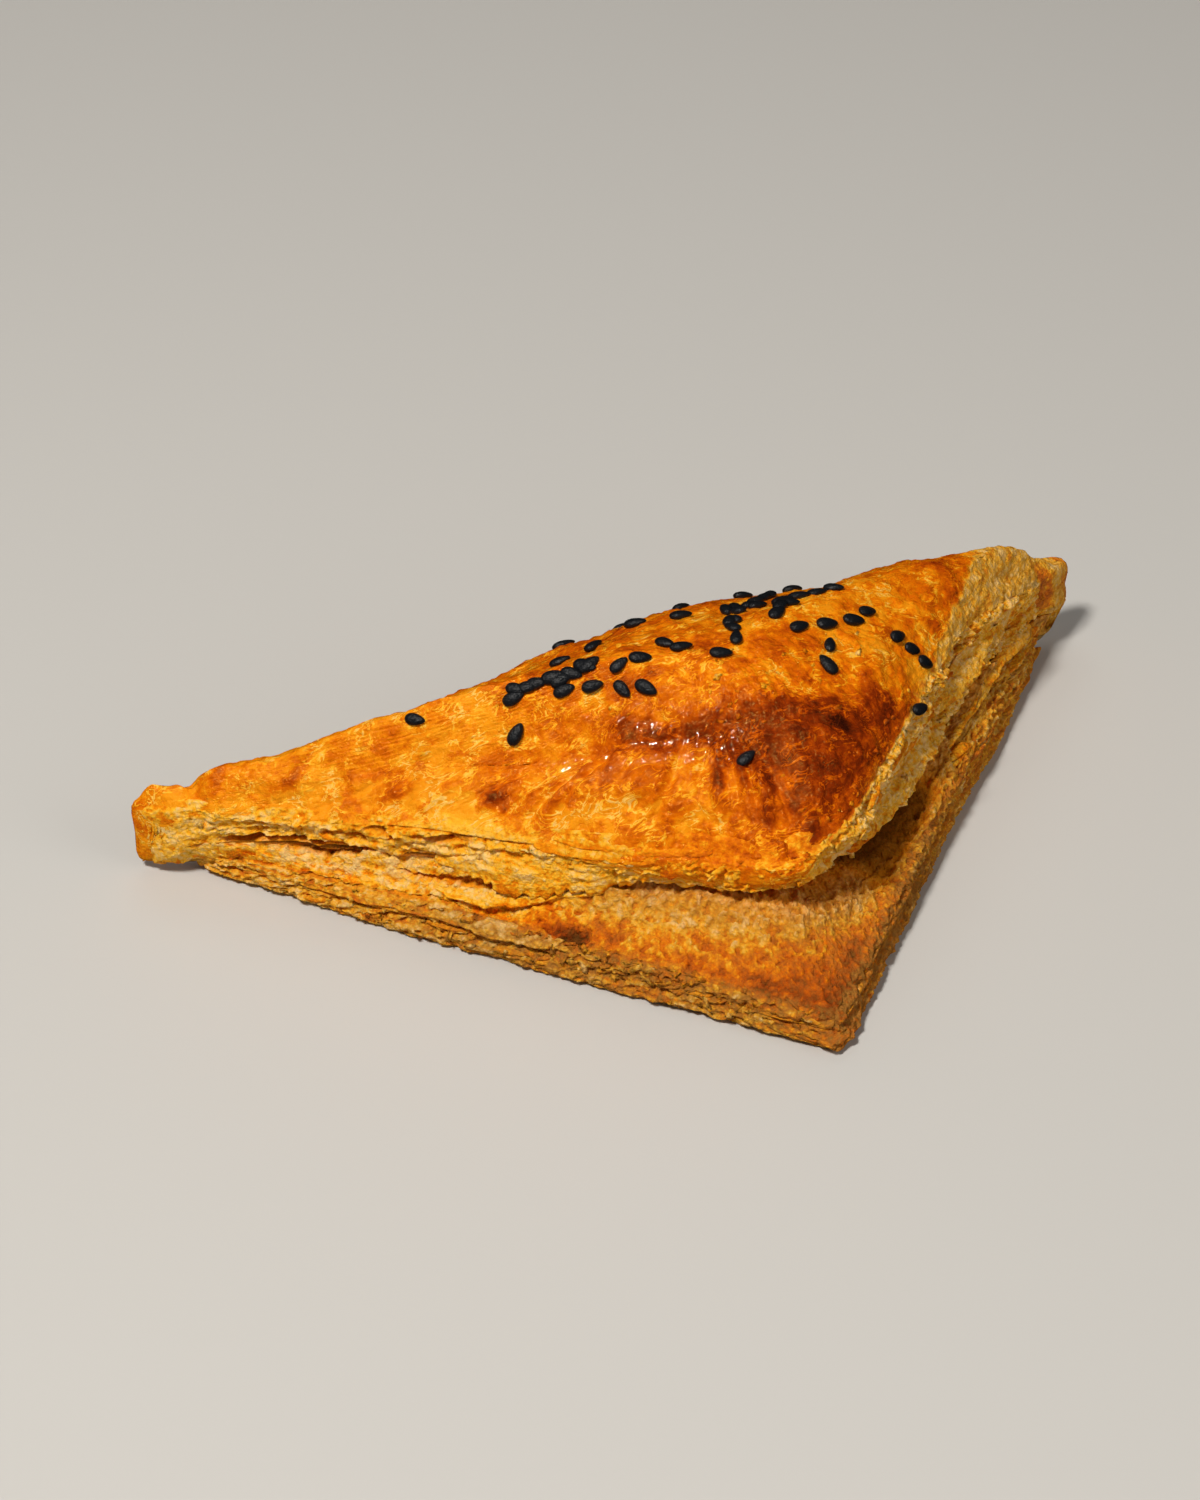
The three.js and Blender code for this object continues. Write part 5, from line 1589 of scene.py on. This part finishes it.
def bake_group():
    """Toast plus mottle and crumb, less streaks and wisps, read off a ramp; a dull painted shade and the
    amber painted shade of hollows lie over it.
    """
    group, enter, leave = new_group(
        "bake_colour",
        [
            ("Toast", "NodeSocketFloat", 0.4),
            ("Wash", "NodeSocketFloat", 0.0),
            ("Amber And Painted Shade", "NodeSocketFloat", 0.0),
            ("Painted Shade", "NodeSocketFloat", 0.0),
            ("Mottle", "NodeSocketFloat", 0.1),
        ],
        [("Color", "NodeSocketColor"), ("Roughness", "NodeSocketFloat"), ("Height", "NodeSocketFloat")],
    )
    place = add(group, "ShaderNodeTexCoord").outputs["Object"]
    broad = noise(group, place, 420, 3.0, 0.6, 0.4)
    fine = noise(group, place, 1900, 3.0, 0.65, 0.6)
    # painted shade: the colour darkens where the fine noise lowers the bump, and pales on its crests
    both = sums(group, "SUBTRACT", sums(group, "MULTIPLY", broad, 1.3), sums(group, "MULTIPLY", fine, 0.7))
    wander = sums(group, "SUBTRACT", both, 0.3)
    mottle = sums(group, "MULTIPLY", wander, enter.outputs["Mottle"])
    toast = sums(group, "ADD", enter.outputs["Toast"], mottle)
    crumbs = add(group, "ShaderNodeTexVoronoi", feature="F1")
    link(group, place, crumbs.inputs["Vector"])
    crumbs.inputs["Scale"].default_value = 1000
    crumbs.inputs["Detail"].default_value = 1.0
    crumbs.inputs["Roughness"].default_value = 0.6
    unwashed = sums(group, "SUBTRACT", 1.0, enter.outputs["Wash"])
    # painted shade: the crumb is darker between its grains, where the bump dips
    bed = sums(group, "MULTIPLY", sums(group, "SUBTRACT", crumbs.outputs["Distance"], 0.76), unwashed)
    toast = sums(group, "ADD", toast, sums(group, "MULTIPLY", bed, 0.22))
    # the wash dries in streaks drawn out along the pastry, with short pale wisps where it has torn; their
    # paleness is partly a painted highlight on their crests
    stretch = add(group, "ShaderNodeMapping")
    link(group, place, stretch.inputs["Vector"])
    stretch.inputs["Rotation"].default_value = (0.0, 0.0, math.radians(30))
    stretch.inputs["Scale"].default_value = (0.35, 1.0, 0.8)
    streak = sums(group, "SUBTRACT", noise(group, stretch.outputs["Vector"], 700, 4.0, 0.6, 0.5), 0.5)
    streak = sums(group, "MULTIPLY", streak, enter.outputs["Wash"])
    wisp = noise(group, stretch.outputs["Vector"], 520, 3.0, 0.6, 1.4)
    wisp = sums(group, "ABSOLUTE", sums(group, "SUBTRACT", wisp, 0.5), 0.0)
    wisp = spread(group, wisp, 0.012, 0.04, 1.0, 0.0)
    patches = spread(group, noise(group, place, 330, 3.0), 0.44, 0.56)
    crack = sums(group, "MULTIPLY", sums(group, "MULTIPLY", wisp, patches), enter.outputs["Wash"])
    toast = sums(group, "SUBTRACT", toast, sums(group, "MULTIPLY", streak, 0.14))
    toast = sums(group, "MAXIMUM", toast, sums(group, "MULTIPLY", enter.outputs["Wash"], 0.31))
    toast = sums(group, "SUBTRACT", toast, sums(group, "MULTIPLY", crack, 0.24))
    ramp = add(group, "ShaderNodeValToRGB")
    link(group, toast, ramp.inputs["Fac"])
    steps = ramp.color_ramp.elements
    for index, (at, colour) in enumerate(BAKE_STEPS):
        step = steps[index] if index < 2 else steps.new(at)
        step.position = at
        step.color = (*colour, 1.0)
    # painted shade: the dull tan laid over the colour, a little more of it between the crumbs
    painted_shade = sums(group, "MULTIPLY", enter.outputs["Painted Shade"], sums(group, "ADD", 0.8, bed), True)
    baked = blend_colour(group, painted_shade, ramp.outputs["Color"], PAINTED_SHADE_COLOUR)
    # painted shade of hollows: amber first, then near black where the stored value passes a half
    hollow = spread(group, enter.outputs["Amber And Painted Shade"], 0.0, 0.5, 0.0, 0.8)
    deep = spread(group, enter.outputs["Amber And Painted Shade"], 0.5, 1.0, 0.0, 0.92)
    amber_and_painted_shade = blend_colour(group, hollow, baked, AMBER_SHADE_COLOUR)
    link(group, blend_colour(group, deep, amber_and_painted_shade, DEEP_SHADE), leave.inputs["Color"])
    rough = spread(group, enter.outputs["Wash"], 0.0, 1.0, 0.8, 0.16)
    link(group, sums(group, "ADD", rough, sums(group, "MULTIPLY", wander, 0.15)), leave.inputs["Roughness"])
    fine_share = spread(group, enter.outputs["Wash"], 0.0, 1.0, 0.8, 0.35)
    height = sums(group, "MULTIPLY", fine, fine_share)
    height = sums(group, "ADD", height, sums(group, "MULTIPLY", crack, 0.06))
    height = sums(group, "ADD", height, sums(group, "MULTIPLY", streak, 0.8))
    grain = sums(group, "MULTIPLY", bed, 0.7)
    link(group, sums(group, "SUBTRACT", height, grain), leave.inputs["Height"])
    return group


BAKE = bake_group()

# %% [markdown]
# The leaves are thinner than the mesh can show. A second group draws them as noise stretched
# along the run of the outline, which each point carries as an attribute: its place round the
# pastry and its height.

# %% Leaf line group
def leaf_line_group():
    """Two noises stretched along the run, added up as a height, and the same height spread from -1 to 1."""
    group, enter, leave = new_group(
        "leaf_lines",
        [("Run", "NodeSocketVector", None)],
        [("Line", "NodeSocketFloat"), ("Height", "NodeSocketFloat")],
    )
    stretch = add(group, "ShaderNodeMapping")
    link(group, enter.outputs["Run"], stretch.inputs["Vector"])
    stretch.inputs["Scale"].default_value = (0.22, 3.0, 1.0)
    lines = noise(group, stretch.outputs["Vector"], 1.0, 3.0, 0.6, 0.35)
    finer = add(group, "ShaderNodeMapping")
    link(group, enter.outputs["Run"], finer.inputs["Vector"])
    finer.inputs["Scale"].default_value = (0.9, 6.5, 1.0)
    fibres = noise(group, finer.outputs["Vector"], 1.0, 2.0, 0.6, 0.6)
    height = sums(group, "ADD", sums(group, "MULTIPLY", lines, 0.65), sums(group, "MULTIPLY", fibres, 0.35))
    link(group, height, leave.inputs["Height"])
    link(group, spread(group, height, 0.38, 0.62, -1.0, 1.0), leave.inputs["Line"])
    return group


LEAF_LINES = leaf_line_group()

# %% [markdown]
# ## The two dough materials
# Both use the same groups. The glazed crust is the shinier one and shows little of the leaf lines.
# It has a clear coat only where the stored gloss says so, in the streak under the ridge. The torn
# crumb is duller, lets a little more light through, and shows the lines.

# %% Dough materials
def attribute(tree, name, output):
    """An Attribute node that reads one stored value."""
    node = add(tree, "ShaderNodeAttribute", attribute_name=name)
    return node.outputs[output]


def dough_material(name, mottle, line_tint, line_share, bump, shine, subsurface):
    """A Principled surface fed by the bake and leaf line groups."""
    material = bpy.data.materials.new(name)
    material.use_nodes = True
    tree = material.node_tree
    surface = tree.nodes["Principled BSDF"]
    lines = add(tree, "ShaderNodeGroup", node_tree=LEAF_LINES)
    link(tree, attribute(tree, "run", "Vector"), lines.inputs["Run"])
    leafy = attribute(tree, "leafy", "Fac")
    tint = sums(tree, "MULTIPLY", sums(tree, "MULTIPLY", lines.outputs["Line"], line_tint), leafy)
    bake = add(tree, "ShaderNodeGroup", node_tree=BAKE)
    link(tree, sums(tree, "ADD", attribute(tree, "toast", "Fac"), tint), bake.inputs["Toast"])
    link(tree, attribute(tree, "wash", "Fac"), bake.inputs["Wash"])
    link(tree, attribute(tree, "amber_and_painted_shade", "Fac"), bake.inputs["Amber And Painted Shade"])
    link(tree, attribute(tree, "painted_shade", "Fac"), bake.inputs["Painted Shade"])
    bake.inputs["Mottle"].default_value = mottle
    link(tree, bake.outputs["Color"], surface.inputs["Base Color"])
    link(tree, bake.outputs["Roughness"], surface.inputs["Roughness"])
    relief = sums(tree, "MULTIPLY", sums(tree, "MULTIPLY", lines.outputs["Height"], line_share), leafy)
    height = sums(tree, "ADD", bake.outputs["Height"], relief)
    bumps = add(tree, "ShaderNodeBump")
    bumps.inputs["Distance"].default_value = bump
    bumps.inputs["Strength"].default_value = 1.0
    link(tree, height, bumps.inputs["Height"])
    link(tree, bumps.outputs["Normal"], surface.inputs["Normal"])
    link(tree, attribute(tree, "gloss", "Fac"), surface.inputs["Coat Weight"])
    surface.inputs["Coat Roughness"].default_value = 0.05
    surface.inputs["Subsurface Weight"].default_value = subsurface
    surface.inputs["Subsurface Radius"].default_value = (1.0, 0.45, 0.12)
    surface.inputs["Subsurface Scale"].default_value = 0.0009
    surface.inputs["Specular IOR Level"].default_value = shine
    surface.inputs["Specular Tint"].default_value = (1.0, 0.68, 0.15, 1)
    surface.inputs["Coat Tint"].default_value = (1.0, 0.93, 0.72, 1)
    return material


glaze = dough_material("glazed_crust", 0.5, 0.08, 0.8, 0.0006, 0.45, 0.1)
crumb = dough_material("flaky_crumb", 0.5, 0.2, 0.8, 0.0005, 0.2, 0.15)
lid_piece.data.materials.append(glaze)
glaze_flecks.data.materials.append(glaze)
for piece in (base_piece, wall_piece, torn_leaves, *short_leaves, strip_flakes, wall_flakes):
    piece.data.materials.append(crumb)

# %% [markdown]
# ## The seed material
# Black sesame is nearly black and only a little shiny. Fine pits break its shine up, because its
# skin is rough like a net. They are a bump only, much finer than the mesh.

# %% Seed material
sesame = bpy.data.materials.new("black_sesame")
sesame.use_nodes = True
sesame_surface = sesame.node_tree.nodes["Principled BSDF"]
sesame_surface.inputs["Base Color"].default_value = (0.006, 0.007, 0.009, 1)
sesame_surface.inputs["Roughness"].default_value = 0.42
sesame_surface.inputs["Specular IOR Level"].default_value = 0.25
seed_place = add(sesame.node_tree, "ShaderNodeTexCoord").outputs["Object"]
pits = noise(sesame.node_tree, seed_place, 3500, 2.0)
pitted = add(sesame.node_tree, "ShaderNodeBump")
pitted.inputs["Distance"].default_value = 0.00015
link(sesame.node_tree, pits, pitted.inputs["Height"])
link(sesame.node_tree, pitted.outputs["Normal"], sesame_surface.inputs["Normal"])
seeds.data.materials.append(sesame)

# %% [markdown]
# ## Floor and light
# The floor is plain and pale. The key lamp is small and stands high on the left, so the edge of
# the shadow is only a little soft. A wide weak lamp fills from the right, another one from behind,
# and the world adds a little light from everywhere. Only the key lamp shines in the glaze.

# %% Floor and light
FLOOR = 1.5
floor_mesh = bpy.data.meshes.new("floor")
floor_mesh.from_pydata(
    [(-FLOOR, -FLOOR, 0), (FLOOR, -FLOOR, 0), (FLOOR, FLOOR, 0), (-FLOOR, FLOOR, 0)], [], [(0, 1, 2, 3)])
floor = bpy.data.objects.new("floor", floor_mesh)
bpy.context.collection.objects.link(floor)
floor.visible_glossy = False
floor_material = bpy.data.materials.new("floor")
floor_material.use_nodes = True
floor_surface = floor_material.node_tree.nodes["Principled BSDF"]
floor_surface.inputs["Base Color"].default_value = (0.55, 0.54, 0.52, 1)
floor_surface.inputs["Roughness"].default_value = 0.6
floor_mesh.materials.append(floor_material)


def soft_lamp(name, place, size, watts, colour, shines):
    """A square area lamp that looks at the pastry; only one that shines shows in the glaze."""
    lamp = bpy.data.lights.new(name, "AREA")
    lamp.size = size
    lamp.energy = watts
    lamp.color = colour
    holder = bpy.data.objects.new(name, lamp)
    holder.location = Vector(place)
    holder.rotation_euler = (Vector((0, 0, 0.015)) - Vector(place)).to_track_quat("-Z", "Y").to_euler()
    holder.visible_glossy = shines
    bpy.context.collection.objects.link(holder)


soft_lamp("key", (-0.42, -0.22, 0.86), 0.15, 9.2, (1.0, 0.96, 0.90), True)
soft_lamp("fill", (0.50, -0.66, 0.50), 0.50, 2.1, (1.0, 0.95, 0.88), False)
soft_lamp("back", (0.10, 0.60, 0.80), 0.50, 1.0, (1.0, 0.95, 0.88), False)
world = bpy.data.worlds.new("world")
world.use_nodes = True
world.node_tree.nodes["Background"].inputs["Color"].default_value = (1.0, 0.98, 0.95, 1)
world.node_tree.nodes["Background"].inputs["Strength"].default_value = 0.1
world.cycles_visibility.glossy = False
bpy.context.scene.world = world
bpy.context.scene.view_settings.view_transform = "Standard"
